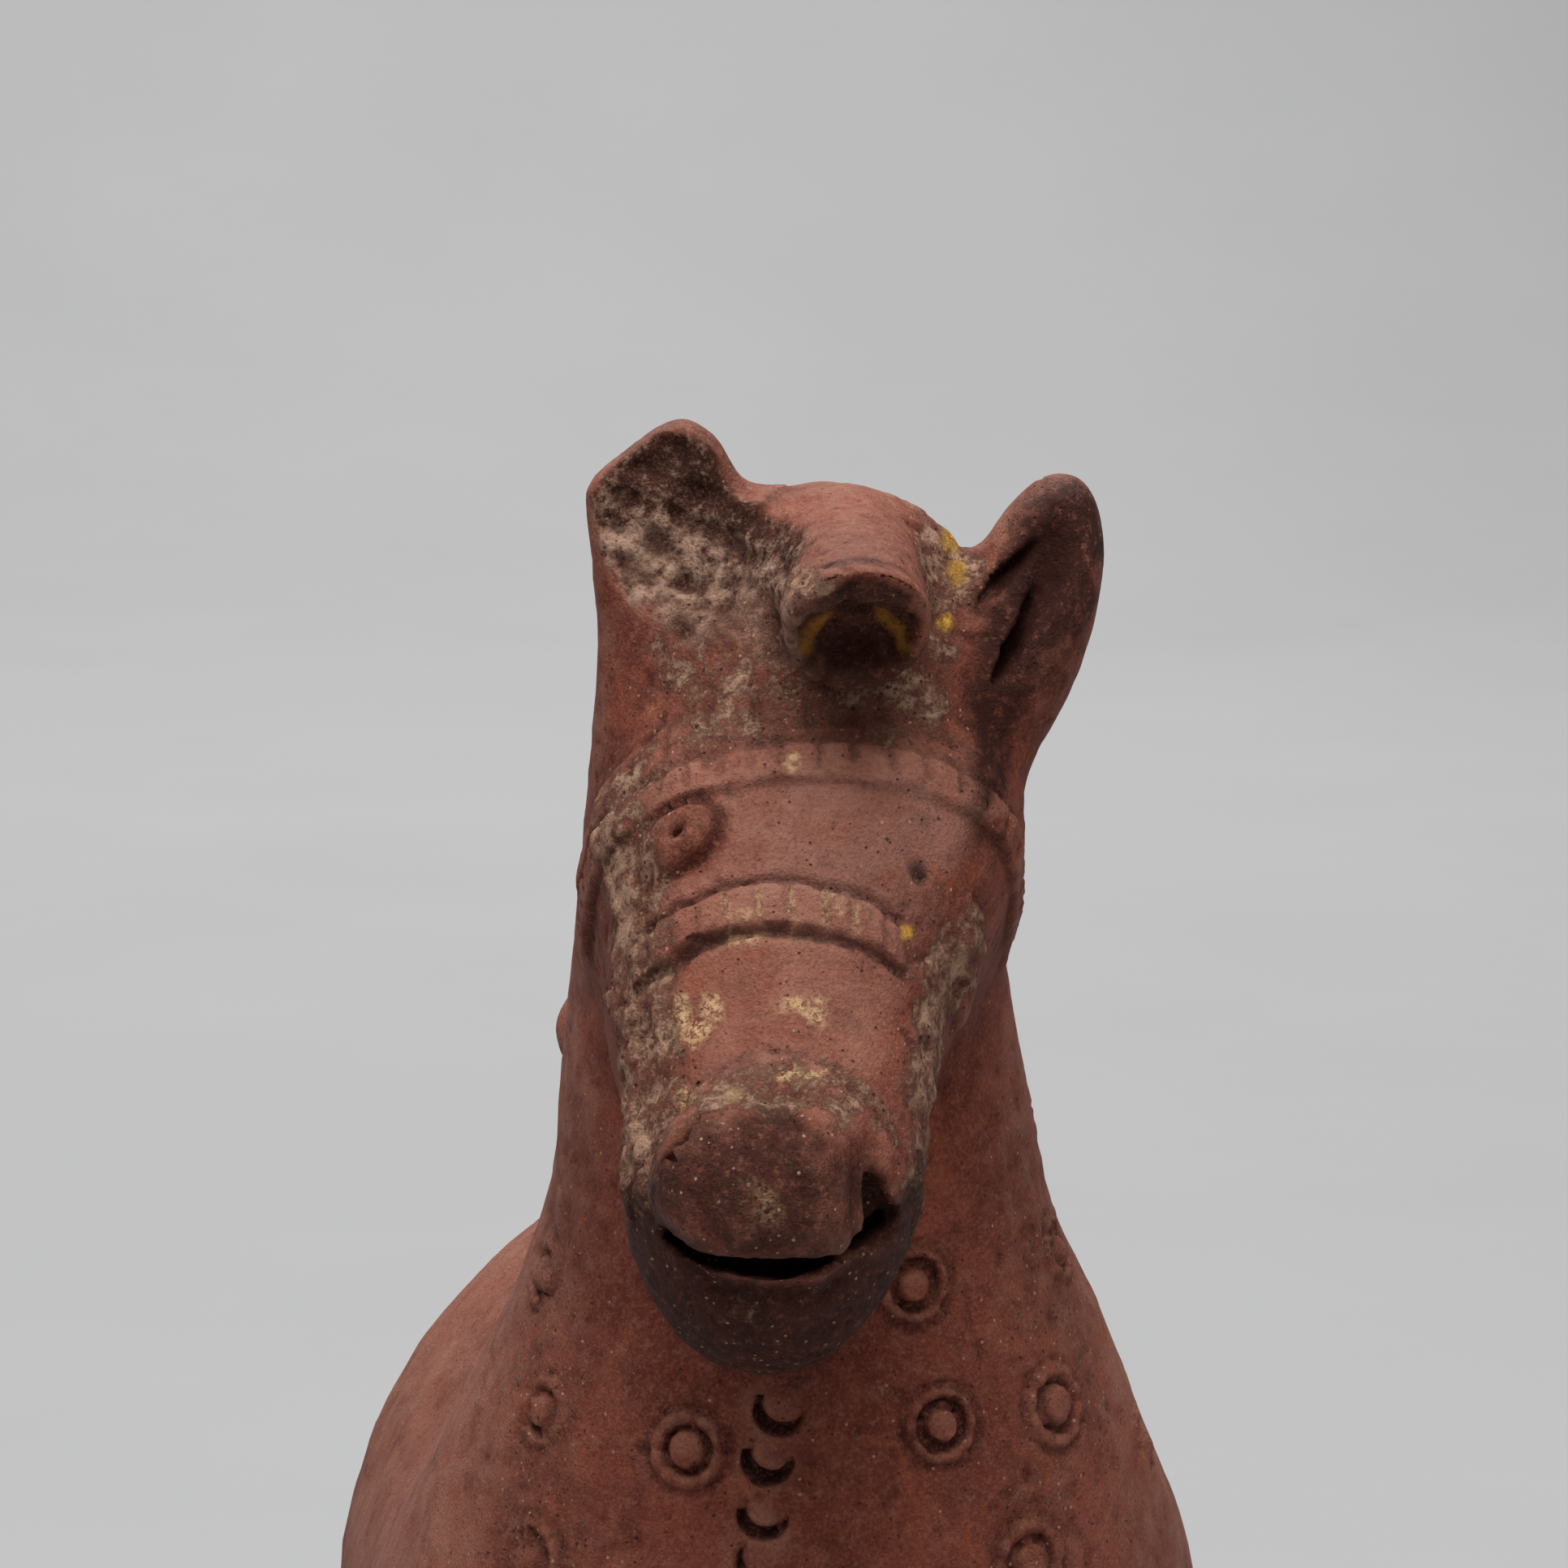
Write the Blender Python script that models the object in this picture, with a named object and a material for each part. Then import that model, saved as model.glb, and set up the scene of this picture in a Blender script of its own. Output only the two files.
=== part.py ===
import math

import bmesh
import bpy
import numpy as np

# Terracotta horse: one solid, hand-modelled figure, standing on four stout legs, facing -Y.
# Driving sizes in metres.
HEIGHT = 0.280  # sole to the top of the broken ear
BODY_LENGTH = 0.200  # front of the chest to the back of the rump
BODY_WIDTH = 0.090  # across the barrel
CHEST_WIDTH = 0.087  # across the shoulders
NECK_WIDTH = 0.0465  # across the neck below the head
HEAD_WIDTH = 0.0425  # across the head at the brow band
MUZZLE_WIDTH = 0.0280  # across the muzzle at the mouth
LEG_WIDTH = 0.0310  # across a leg below the belly
FOOT_WIDTH = 0.0270  # across a sole
TAIL_WIDTH = 0.0150  # across the tail
EAR_WIDTH = 0.0120  # across the whole ear
FORELOCK_WIDTH = 0.0134  # across the broken tuft between the ears
KNOB_WIDTH = 0.0400  # across the knob on the back
EYE_WIDTH = 0.0072  # across the eye pellet
EYE_RELIEF = 0.0016  # height of the eye pellet
BAND_WIDTH = 0.0038  # width of one bridle band
BAND_RELIEF = 0.0009  # height of the bridle bands
ROUNDEL_WIDTH = 0.0082  # across a stamped roundel
ROUNDEL_RELIEF = 0.0009  # height of a roundel's boss and depth of its ring
MOUTH_GAP = 0.0014  # opening of the lips
MOUTH_DEPTH = 0.0045  # depth of the cut between the lips

# The figure is set out in 280 parts of its own height.
PARTS = 280.0
PART = HEIGHT / PARTS

# Pose of the head: the face slopes down and forward.
FACE_PITCH = math.radians(52.0)
BROW = np.array([-2.0, -110.0, 240.0])  # middle of the forehead between the eyes
TRIANGLES = 9650  # faces in all
PLAIN_FACTOR = 6e-6  # how much sooner plain clay gives up its faces than the stamps


def parts(size):
    """A size in metres as parts of the height."""
    return size / PART


def smin(a, b, k):
    """Union of two forms with the clay smoothed over a width k."""
    h = np.clip(0.5 + 0.5 * (b - a) / k, 0.0, 1.0)
    return b + (a - b) * h - k * h * (1.0 - h)


def smax(a, b, k):
    """What two forms share, with the edge rounded over a width k."""
    return -smin(-a, -b, k)


def step(x, lo, hi):
    """0 below lo, 1 above hi, smooth between."""
    t = np.clip((x - lo) / (hi - lo), 0.0, 1.0)
    return t * t * (3.0 - 2.0 * t)


def bump(x, width):
    """1 at x = 0, falling to 0 at half the width on either side."""
    return step(-np.abs(x), -0.5 * width, 0.0)


def curve(s, xs, ys):
    """Smooth line through the stations (xs, ys), level beyond the ends."""
    xs = np.asarray(xs, float)
    ys = np.asarray(ys, float)
    slope = np.gradient(ys, xs)
    s = np.clip(s, xs[0], xs[-1])
    i = np.clip(np.searchsorted(xs, s) - 1, 0, len(xs) - 2)
    h = xs[i + 1] - xs[i]
    t = (s - xs[i]) / h
    return (
        (1 + 2 * t) * (1 - t) ** 2 * ys[i]
        + t * (1 - t) ** 2 * h * slope[i]
        + t * t * (3 - 2 * t) * ys[i + 1]
        + t * t * (t - 1) * h * slope[i + 1]
    )


def oval(a, b, ra, rb, n):
    """Distance outside the rounded section |a/ra|^n + |b/rb|^n = 1, less than 0 inside."""
    p = np.abs(a) / ra
    q = np.abs(b) / rb
    k = (p**n + q**n) ** (1.0 / n) + 1e-9
    g = k ** (1.0 - n) * np.hypot(p ** (n - 1) / ra, q ** (n - 1) / rb)
    return (k - 1.0) / np.maximum(g, 0.3 / np.maximum(ra, rb))


def lump(p, centre, axes, radii):
    """Distance outside an ellipsoid whose three axes are the rows of axes."""
    q = (p - centre) @ np.asarray(axes).T
    r = np.asarray(radii, float)
    k = np.sqrt(((q / r) ** 2).sum(1)) + 1e-9
    g = np.sqrt(((q / (r * r)) ** 2).sum(1)) + 1e-9
    return k * (k - 1.0) / g


def rod(p, start, end, r0, r1):
    """Distance outside a round rod from start to end, tapering from r0 to r1."""
    start = np.asarray(start, float)
    along = np.asarray(end, float) - start
    t = np.clip(((p - start) @ along) / (along @ along), 0.0, 1.0)
    off = p - start - t[:, None] * along
    return np.sqrt((off**2).sum(1)) - (r0 + (r1 - r0) * t)


def frame_of(direction, side):
    """Three unit rows: across, along the direction, and out."""
    along = np.asarray(direction, float)
    along = along / np.linalg.norm(along)
    out = np.cross(np.asarray(side, float), along)
    out /= np.linalg.norm(out)
    across = np.cross(along, out)
    return np.array([across, along, out])


# Head frame: across (to +X), down the face, and out of the face.
DOWN_FACE = np.array([0.0, -math.cos(FACE_PITCH), -math.sin(FACE_PITCH)])
OUT_FACE = np.array([0.0, -math.sin(FACE_PITCH), math.cos(FACE_PITCH)])
HEAD_AXES = np.array([[1.0, 0.0, 0.0], DOWN_FACE, OUT_FACE])


# Side profile of the neck and chest: height, front, back, share of the neck's and of the chest's extra width.
NECK_LINE = np.array(
    [
        (92, -68, 10, 1.00, 0.33, 0.0),
        (108, -83, 15, 1.00, 0.80, 0.5),
        (125, -92, 14, 1.00, 1.02, 1.2),
        (145, -96, 4, 1.00, 1.06, 2.0),
        (161, -97, -8, 1.00, 0.85, 2.6),
        (171, -96.5, -17, 1.00, 0.64, 2.8),
        (184, -95, -27, 1.00, 0.37, 2.8),
        (195, -94, -34, 1.00, 0.15, 2.2),
        (210, -93, -41, 1.00, 0.03, 1.2),
        (222, -93, -45, 0.95, 0.00, 0.6),
        (236, -95, -50, 0.90, 0.00, 0.8),
        (250, -98, -57, 0.86, 0.00, 1.8),
        (262, -100, -66, 0.74, 0.00, 2.4),
    ]
)

# Barrel: distance behind the chest as a share of the body's length, widest height, back above it, belly below it,
# share of the width.
BARREL_LINE = np.array(
    [
        (0.05, 126, 40, 30, 0.80),
        (0.22, 122, 48, 37, 0.95),
        (0.45, 119, 49, 37, 1.00),
        (0.65, 119, 50, 37, 1.00),
        (0.85, 119, 53, 39, 1.01),
        (1.00, 120, 48, 38, 0.94),
    ]
)

# Head: distance down the face, share of the extra width at the brow, share of the muzzle's width, middle, face, jaw.
HEAD_LINE = np.array(
    [
        (-46, 0.00, 0.92, 5.4, -12.0, -30),
        (-40, 0.20, 1.00, 5.0, -8.0, -36),
        (-28, 0.58, 1.00, 4.6, -3.5, -41),
        (-17, 0.80, 1.00, 3.6, -1.0, -42),
        (-10, 1.00, 1.00, 2.6, 0.3, -42),
        (-2.5, 0.82, 1.00, 1.8, 0.2, -41),
        (3, 0.60, 1.00, 0.6, -0.6, -39),
        (8, 0.44, 1.00, -0.5, -1.5, -37),
        (15, 0.22, 0.98, -1.4, -2.4, -34),
        (23, 0.06, 0.97, -1.9, -2.8, -31),
        (31, 0.00, 0.93, -2.6, -3.0, -29),
        (40, 0.00, 0.68, -3.2, -6.0, -26),
    ]
)


def barrel(p):
    """The body: upright ovals along the back, rounded off at chest and rump."""
    chest = -97.0
    length = parts(BODY_LENGTH)
    s = (p[:, 1] - chest) / length
    mid = curve(s, BARREL_LINE[:, 0], BARREL_LINE[:, 1])
    back = curve(s, BARREL_LINE[:, 0], BARREL_LINE[:, 2])
    belly = curve(s, BARREL_LINE[:, 0], BARREL_LINE[:, 3])
    wide = curve(s, BARREL_LINE[:, 0], BARREL_LINE[:, 4]) * 0.5 * parts(BODY_WIDTH)
    rise = p[:, 2] - mid
    d = oval(p[:, 0], rise, wide, np.where(rise > 0.0, back, belly), 1.75)
    front = chest + 6.0 - p[:, 1]
    rear = p[:, 1] - (chest + length)
    d = smax(d, front, 34.0)
    return smax(d, rear, 44.0)


def neck(p):
    """Neck and chest: level ovals that lean and widen towards the shoulders."""
    z = p[:, 2]
    st = NECK_LINE
    front = curve(z, st[:, 0], st[:, 1])
    back = curve(z, st[:, 0], st[:, 2])
    spare = 0.5 * (parts(CHEST_WIDTH) - parts(NECK_WIDTH))
    wide = curve(z, st[:, 0], st[:, 3]) * 0.5 * parts(NECK_WIDTH) + curve(z, st[:, 0], st[:, 4]) * spare
    shift = curve(z, st[:, 0], st[:, 5])
    d = oval(p[:, 0] - shift, p[:, 1] - 0.5 * (front + back), wide, 0.5 * (back - front), 2.2)
    d = smax(d, z - 264.0, 12.0)
    return smax(d, 92.0 - z, 26.0)


def head_bar(q):
    """The long head without its lips: ovals across the face direction."""
    v = q[:, 1]
    st = HEAD_LINE
    spare = 0.5 * (parts(HEAD_WIDTH) - parts(MUZZLE_WIDTH))
    wide = curve(v, st[:, 0], st[:, 1]) * spare + curve(v, st[:, 0], st[:, 2]) * 0.5 * parts(MUZZLE_WIDTH)
    mid = curve(v, st[:, 0], st[:, 3])
    top = curve(v, st[:, 0], st[:, 4])
    jaw = curve(v, st[:, 0], st[:, 5])
    d = oval(q[:, 0] - mid, q[:, 2] - 0.5 * (top + jaw), wide, 0.5 * (top - jaw), 2.5)
    d = smax(d, v - 37.0, 9.0)
    return smax(d, -44.0 - v, 10.0)


def muzzle(q):
    """The upper lip and the wider lower jaw that cups it."""
    share = parts(MUZZLE_WIDTH) / 28.0
    eye = np.eye(3)
    lip = lump(q, (-5.8, 32.8, -5.6), eye, (9.0 * share, 8.4, 6.6))
    lip = smin(lip, lump(q, (-0.6, 33.2, -6.2), eye, (4.4 * share, 7.8, 6.0)), 3.0)
    lip = smax(lip, q[:, 0] - 3.3 * share, 1.4)
    jaw = lump(q, (-3.6, 30.0, -19.0), eye, (12.0 * share, 14.6, 13.0))
    return lip, jaw


def ears(p, q):
    """The broken ear at -X, the whole ear at +X."""
    wide = 0.5 * parts(EAR_WIDTH)
    stump = rod(p, (-12.0, -83.0, 246.0), (-13.3, -83.0, 271.3), 1.08 * wide, 1.24 * wide)
    bevel = -0.587 * (p[:, 0] + 16.6) + 0.81 * (p[:, 2] - 274.9)
    stump = smax(stump, bevel, 1.6)
    lean = frame_of((0.34, 0.10, 1.0), (1.0, 0.25, 0.0))
    whole = lump(p, (21.6, -88.0, 257.2), lean, (1.08 * wide, 16.3, 7.6))
    return stump, whole


def clay(p):
    """The figure before its carving: body, neck, head, ears, legs, tail and knob, run together."""
    q = (p - BROW) @ HEAD_AXES.T
    d = smin(barrel(p), neck(p), 14.0)
    head = head_bar(q)
    lip, jaw = muzzle(q)
    head = smin(head, jaw, 5.0)
    head = smin(head, lip, 3.0)
    d = smin(d, head, 7.0)
    poll = lump(p, (2.6, -85.0, 261.5), np.eye(3), (14.2, 10.5, 10.6))
    poll = smin(poll, lump(p, (-3.0, -85.0, 262.2), np.eye(3), (9.0, 9.5, 9.3)), 1.5)
    d = smin(d, poll, 3.0)
    stump, whole = ears(p, q)
    d = smin(d, stump, 4.0)
    d = smin(d, whole, 4.0)
    half = 0.5 * parts(LEG_WIDTH)
    sole = 0.5 * parts(FOOT_WIDTH)
    apart = 0.5 * parts(BODY_WIDTH) - 0.78 * half
    rump = -97.0 + parts(BODY_LENGTH)
    for x in (-apart, apart):
        for y, lean in ((-60.0, -3.0), (rump - 27.0, 3.0)):
            leg = rod(p, (x, y, 92.0), (x * 0.98, y + lean, -8.0), half * 1.12, sole * 0.98)
            d = smin(d, leg, 11.0)
    tail = 0.5 * parts(TAIL_WIDTH)
    d = smin(d, rod(p, (0.0, rump - 16.0, 153.0), (0.0, rump + 0.5, 122.0), tail * 1.15, tail), 10.0)
    d = smin(d, rod(p, (0.0, rump + 0.5, 122.0), (0.0, rump - 3.0, 64.0), tail, tail * 0.7), 8.0)
    knob = 0.5 * parts(KNOB_WIDTH)
    upright = frame_of((0.0, 0.10, 1.0), (1.0, 0.0, 0.0))
    arch = lump(p, (0.0, 4.0, 178.0), upright, (0.72 * knob, 26.0, 8.0))
    roll = rod(p, (-knob + 6.4, 4.0, 201.0), (knob - 6.4, 4.0, 201.0), 6.4, 6.4)
    d = smin(d, smin(arch, roll, 5.0), 7.0)
    return d


def forelock(p):
    """The stout tuft that juts forward from the poll, broken off short."""
    r = 0.5 * parts(FORELOCK_WIDTH)
    d = rod(p, (4.0, -90.0, 264.6), (2.9, -122.0, 259.4), r * 1.08, r)
    out = np.array([0.0, -0.76, -0.65])
    cut = (p - np.array([2.9, -114.5, 260.7])) @ out
    hollow = lump(p, (2.9, -114.3, 259.9), frame_of((1.0, 0.0, 0.0), (0.0, 0.65, -0.76)), (r * 0.74, r * 0.86, 3.2))
    return smax(smax(d, cut, 1.2), -hollow, 1.0)


def carve(p, d):
    """Cuts and reliefs on the clay: forelock, ear hollows, fracture, mouth, nostrils, bands, eyes, stamps."""
    q = (p - BROW) @ HEAD_AXES.T
    u, v, w = q.T
    skin = d.copy()

    # the tuft, set on after the head
    d = smin(d, forelock(p), 2.5)

    # fracture of the broken ear: a spoon-shaped scoop out of its front
    waves = 0.9 * np.sin(0.9 * p[:, 0] + 1.3) * np.sin(0.75 * p[:, 2]) + 0.5 * np.sin(1.9 * p[:, 2] + 0.8 * p[:, 0])
    scoop = lump(p, (-15.0, -101.3, 272.0), np.eye(3), (14.0, 15.8, 15.8)) + 0.35 * waves
    d = smax(d, -scoop, 0.8)

    # whole ear: a shallow bowl with two slots
    side = (1.0, 0.25, 0.0)
    bowl = lump(p, (24.4, -95.6, 265.6), frame_of((0.50, 0.15, 0.86), side), (3.4, 7.4, 4.4))
    upper = lump(p, (20.4, -94.2, 263.2), frame_of((0.68, 0.10, 0.73), side), (1.0, 5.4, 4.8))
    lower = lump(p, (21.3, -95.2, 258.4), frame_of((0.49, 0.10, 0.87), side), (0.95, 6.6, 4.4))
    d = smax(d, -bowl, 1.4)
    d = smax(d, -upper, 0.6)
    d = smax(d, -lower, 0.6)

    # mouth: a cut along the lip line, straight in from the front
    gap = 0.5 * parts(MOUTH_GAP)
    deep = parts(MOUTH_DEPTH)
    lips = 0.866 * v - 0.5 * w - curve(u, LIP_LINE[:, 0], LIP_LINE[:, 1])
    climb = curve(u + 0.5, LIP_LINE[:, 0], LIP_LINE[:, 1]) - curve(u - 0.5, LIP_LINE[:, 0], LIP_LINE[:, 1])
    lips = lips / np.sqrt(1.0 + climb**2)
    ends = np.abs(u + 3.4) - 10.2
    front = np.maximum(np.maximum(30.0 - v, -15.0 - w), ends)
    cut = np.maximum(np.maximum(np.abs(lips) - gap, front), -skin - deep)
    d = smax(d, -cut, 0.7)

    # nostrils: a slanted slit at -X, a larger three-sided hole at +X that meets the corner of the mouth
    slit = rod(q, (-13.4, 31.6, -2.2), (-10.9, 28.8, -1.4), 1.05, 0.55)
    d = smax(d, -slit, 0.6)
    hole = rod(q, (4.9, 32.4, -6.2), (6.5, 34.8, -10.2), 1.3, 2.3)
    d = smax(d, -hole, 0.6)

    # bridle bands round the head
    ring = parts(BAND_WIDTH)
    high = parts(BAND_RELIEF)
    on_head = step(p[:, 1], -78.0, -84.0) * step(w, -36.0, -30.0)
    round_head = np.degrees(np.arctan2(u + 1.0, w + 21.0))
    notches = bump((round_head / 8.5 + 0.5) % 1.0 - 0.5, 0.34)
    from_nose = v - 6.0 - 0.019 * (u + 3.5) ** 2
    nose = step(np.abs(from_nose), 0.62 * ring, 0.42 * ring) * (1.0 - 0.7 * notches)
    nose -= 1.1 * (bump(from_nose - 0.66 * ring, 1.7) + bump(from_nose + 0.66 * ring, 1.7))
    nose *= step(u, -17.5, -15.0) * step(u, 10.5, 8.5) * step(w, -11.0, -8.5)
    from_brow = v + 8.6 - 0.006 * u**2
    brow = step(np.abs(from_brow), 0.60 * ring, 0.38 * ring)
    brow *= 1.0 - 0.8 * notches * step(from_brow, 0.35 * ring, 0.0)
    gaps = bump((round_head / 13.0) % 1.0 - 0.5, 0.24)
    beads = step(np.abs(from_brow + 5.3), 0.72 * ring, 0.50 * ring) * (1.0 - 0.9 * gaps)
    band = 0.8 * nose + brow + 0.75 * beads

    # cheek strap with slanted cuts at -X, smooth flap at +X
    slant = bump(((v + 0.9 * w) / 3.6) % 1.0 - 0.5, 0.34)
    strap = step(np.abs(w + 12.0), 3.0, 2.0) * step(u, -8.0, -11.0) * step(v, 7.0, 9.0) * step(v, 34.0, 31.0)
    band += 0.8 * strap * (1.0 - 0.8 * slant)
    along = (v - 6.5) * 0.535 - (w + 12.7) * 0.845
    aside = (v - 6.5) * 0.845 + (w + 12.7) * 0.535
    band += 1.1 * step(np.hypot(along / 7.6, aside / 2.6), 1.1, 0.8) * step(u, 8.0, 11.0)
    d = d - high * band * on_head

    # eyes: an oval pellet with its pupil at -X, only the pupil hole left at +X
    a = (u + 11.2) * 0.85 - (v + 2.3) * 0.52
    b = (u + 11.2) * 0.52 + (v + 2.3) * 0.85
    size = 0.5 * parts(EYE_WIDTH)
    pellet = np.sqrt((a / size) ** 2 + (b / (0.82 * size)) ** 2)
    front = step(w, -16.0, -12.0)
    d = d - parts(EYE_RELIEF) * step(pellet, 1.12, 0.62) * front
    d = d + parts(EYE_RELIEF) * 0.8 * bump(np.sqrt((a / 1.2) ** 2 + (b / 0.7) ** 2), 2.2) * front
    right = np.hypot(u - 11.4, v - 1.6)
    d = d + parts(EYE_RELIEF) * (0.9 * bump(right, 2.6) + 0.25 * bump(right, 7.5)) * front

    return stamps(p, d)


def pattern(p, centre, normal, size):
    """Height of one roundel: a boss, a ring cut round it and a rim of petals."""
    n = normal
    side = np.cross(np.array([0.0, 0.0, 1.0]), n)
    side /= np.linalg.norm(side)
    up = np.cross(n, side)
    rel = p - centre
    a = rel @ side
    b = rel @ up
    depth = np.abs(rel @ n)
    r = np.hypot(a, b) / (0.5 * size)
    height = step(r, 0.50, 0.36) - 0.75 * bump(r - 0.58, 0.26)
    rim = bump(r - 0.84, 0.36)
    return (height + 0.7 * rim) * step(depth, 5.0, 3.0)


# Roundels on the chest and the neck: across from the middle and height. The last column is the share of the size.
ROUNDELS_AT = (
    (-23.3, 201.2, 0.8),
    (27.4, 192.7, 0.9),
    (11.0, 193.2, 1.0),
    (-24.8, 190.2, 0.95),
    (-25.3, 177.9, 0.95),
    (-11.5, 177.0, 1.0),
    (13.6, 179.2, 1.0),
    (26.0, 179.0, 1.1),
    (-27.1, 163.6, 1.15),
    (22.9, 164.4, 1.1),
    (-36.4, 165.5, 0.9),
    (37.6, 170.5, 0.9),
    (-14.0, 150.0, 1.0),
    (8.5, 149.0, 1.0),
    (-31.5, 147.0, 1.0),
    (30.0, 148.5, 1.0),
    (-19.0, 134.0, 1.0),
    (17.0, 134.0, 1.0),
)
CRESCENTS_AT = ((-2.6, 181.2), (-3.8, 176.4), (-4.3, 170.9), (-4.6, 166.0), (-4.4, 160.6), (-4.2, 155.2))
# Half width of the chest that these places were set out on.
SET_OUT = 43.5

# Lip line: across, and distance down from the brow as seen from in front.
LIP_LINE = np.array([(-17.0, 33.0), (-15.3, 34.3), (-11.7, 36.9), (-5.5, 38.4), (1.0, 37.8), (3.4, 36.8), (7.5, 33.8), (9.0, 32.5)])


def surface_point(x, z):
    """The point of the bare clay's front at x and height z, and the way it faces."""
    ys = np.linspace(-125.0 if z < 190 else -101.0, -20.0, 420)
    line = np.stack([np.full_like(ys, x), ys, np.full_like(ys, z)], 1)
    values = smin(barrel(line), neck(line), 14.0)
    inside = np.nonzero(values < 0.0)[0]
    if not len(inside):
        return None
    point = line[inside[0]]
    eps = 0.3
    probe = point + eps * np.vstack([np.eye(3), -np.eye(3)])
    f = smin(barrel(probe), neck(probe), 14.0)
    normal = f[:3] - f[3:]
    return point, normal / np.linalg.norm(normal)


def place(spots):
    """Centres and facings of stamps on the chest, moved outwards as the chest is wider."""
    share = 0.5 * parts(CHEST_WIDTH) / SET_OUT
    found = []
    for x, z, *size in spots:
        hit = surface_point(x * share, z)
        if hit:
            found.append((*hit, *size))
    return found


ROUNDELS = place(ROUNDELS_AT)
CRESCENTS = place(CRESCENTS_AT)


def stamps(p, d):
    """Roundels and crescent punches pressed into the chest and the neck."""
    high = parts(ROUNDEL_RELIEF)
    size = parts(ROUNDEL_WIDTH)
    for centre, normal, share in ROUNDELS:
        near = ((p - centre) ** 2).sum(1) < (1.2 * size) ** 2
        if near.any():
            d[near] -= high * pattern(p[near], centre, normal, size * share)
    for centre, normal in CRESCENTS:
        rel = p - centre
        near = (rel**2).sum(1) < size**2
        if near.any():
            a, b = rel[near, 0], rel[near, 2]
            outer = np.hypot(a, b)
            inner = np.hypot(a - 0.4, b - 0.9)
            moon = step(outer, 2.6, 2.2) * step(inner, 1.9, 2.3)
            d[near] += 1.3 * high * moon
    return d


def horse(p):
    """The whole figure: less than 0 inside the clay, with the soles cut level."""
    d = carve(p, clay(p))
    return np.maximum(d, -p[:, 2])


def spaced(lo, hi, coarse, *zones):
    """Grid lines from lo to hi, closer together inside each zone, given as its two ends and its spacing."""
    lines = [lo]
    while lines[-1] < hi:
        x = lines[-1]
        gaps = [fine + 0.10 * max(start - x, x - end, 0.0) for start, end, fine in zones]
        lines.append(x + min(coarse, *gaps))
    return np.array(lines)


def corner(i, j, k):
    """One corner of every cell of the net."""
    return tuple(slice(1, None) if n else slice(0, -1) for n in (i, j, k))


def settle(inside, f):
    """Fills the corners where two bits of clay, or two of air, would meet only along an edge or at a point."""
    for _ in range(6):
        for j, k in ((0, 0), (0, 1), (1, 0), (1, 1)):
            clay_corners = np.zeros([n - 1 for n in f.shape], np.int8)
            for a in (0, 1):
                for b in (0, 1):
                    clay_corners += inside[corner(a, b, 0)]
                    clay_corners += inside[corner(a, b, 1)]
            first, last, beside = corner(0, j, k), corner(1, 1 - j, 1 - k), corner(1, j, k)
            air_pair = (clay_corners == 6) & ~inside[first] & ~inside[last]
            clay_pair = (clay_corners == 2) & inside[first] & inside[last]
            inside[first] |= air_pair
            f[first][air_pair] = -0.02
            inside[beside] |= clay_pair
            f[beside][clay_pair] = -0.02
        for a, b in ((0, 1), (0, 2), (1, 2)):
            lo, hi = slice(0, -1), slice(1, None)
            view = {}
            for da in (0, 1):
                for db in (0, 1):
                    key = [slice(None)] * 3
                    key[a] = hi if da else lo
                    key[b] = hi if db else lo
                    view[da, db] = tuple(key)
            for d0 in (0, 1):
                p0, p1 = view[0, d0], view[1, 1 - d0]
                q0, q1 = view[0, 1 - d0], view[1, d0]
                touch = inside[p0] & inside[p1] & ~inside[q0] & ~inside[q1]
                inside[q0] |= touch
                f[q0][touch] = -0.02
    # a pocket of air no bigger than one point of the net, shut in on all sides, is clay
    middle = (slice(1, -1),) * 3
    shut_in = ~inside[middle]
    for axis in range(3):
        for way in (-1, 1):
            shut_in &= np.roll(inside, way, axis)[middle]
    inside[middle] |= shut_in
    f[middle][shut_in] = -0.02


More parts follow.
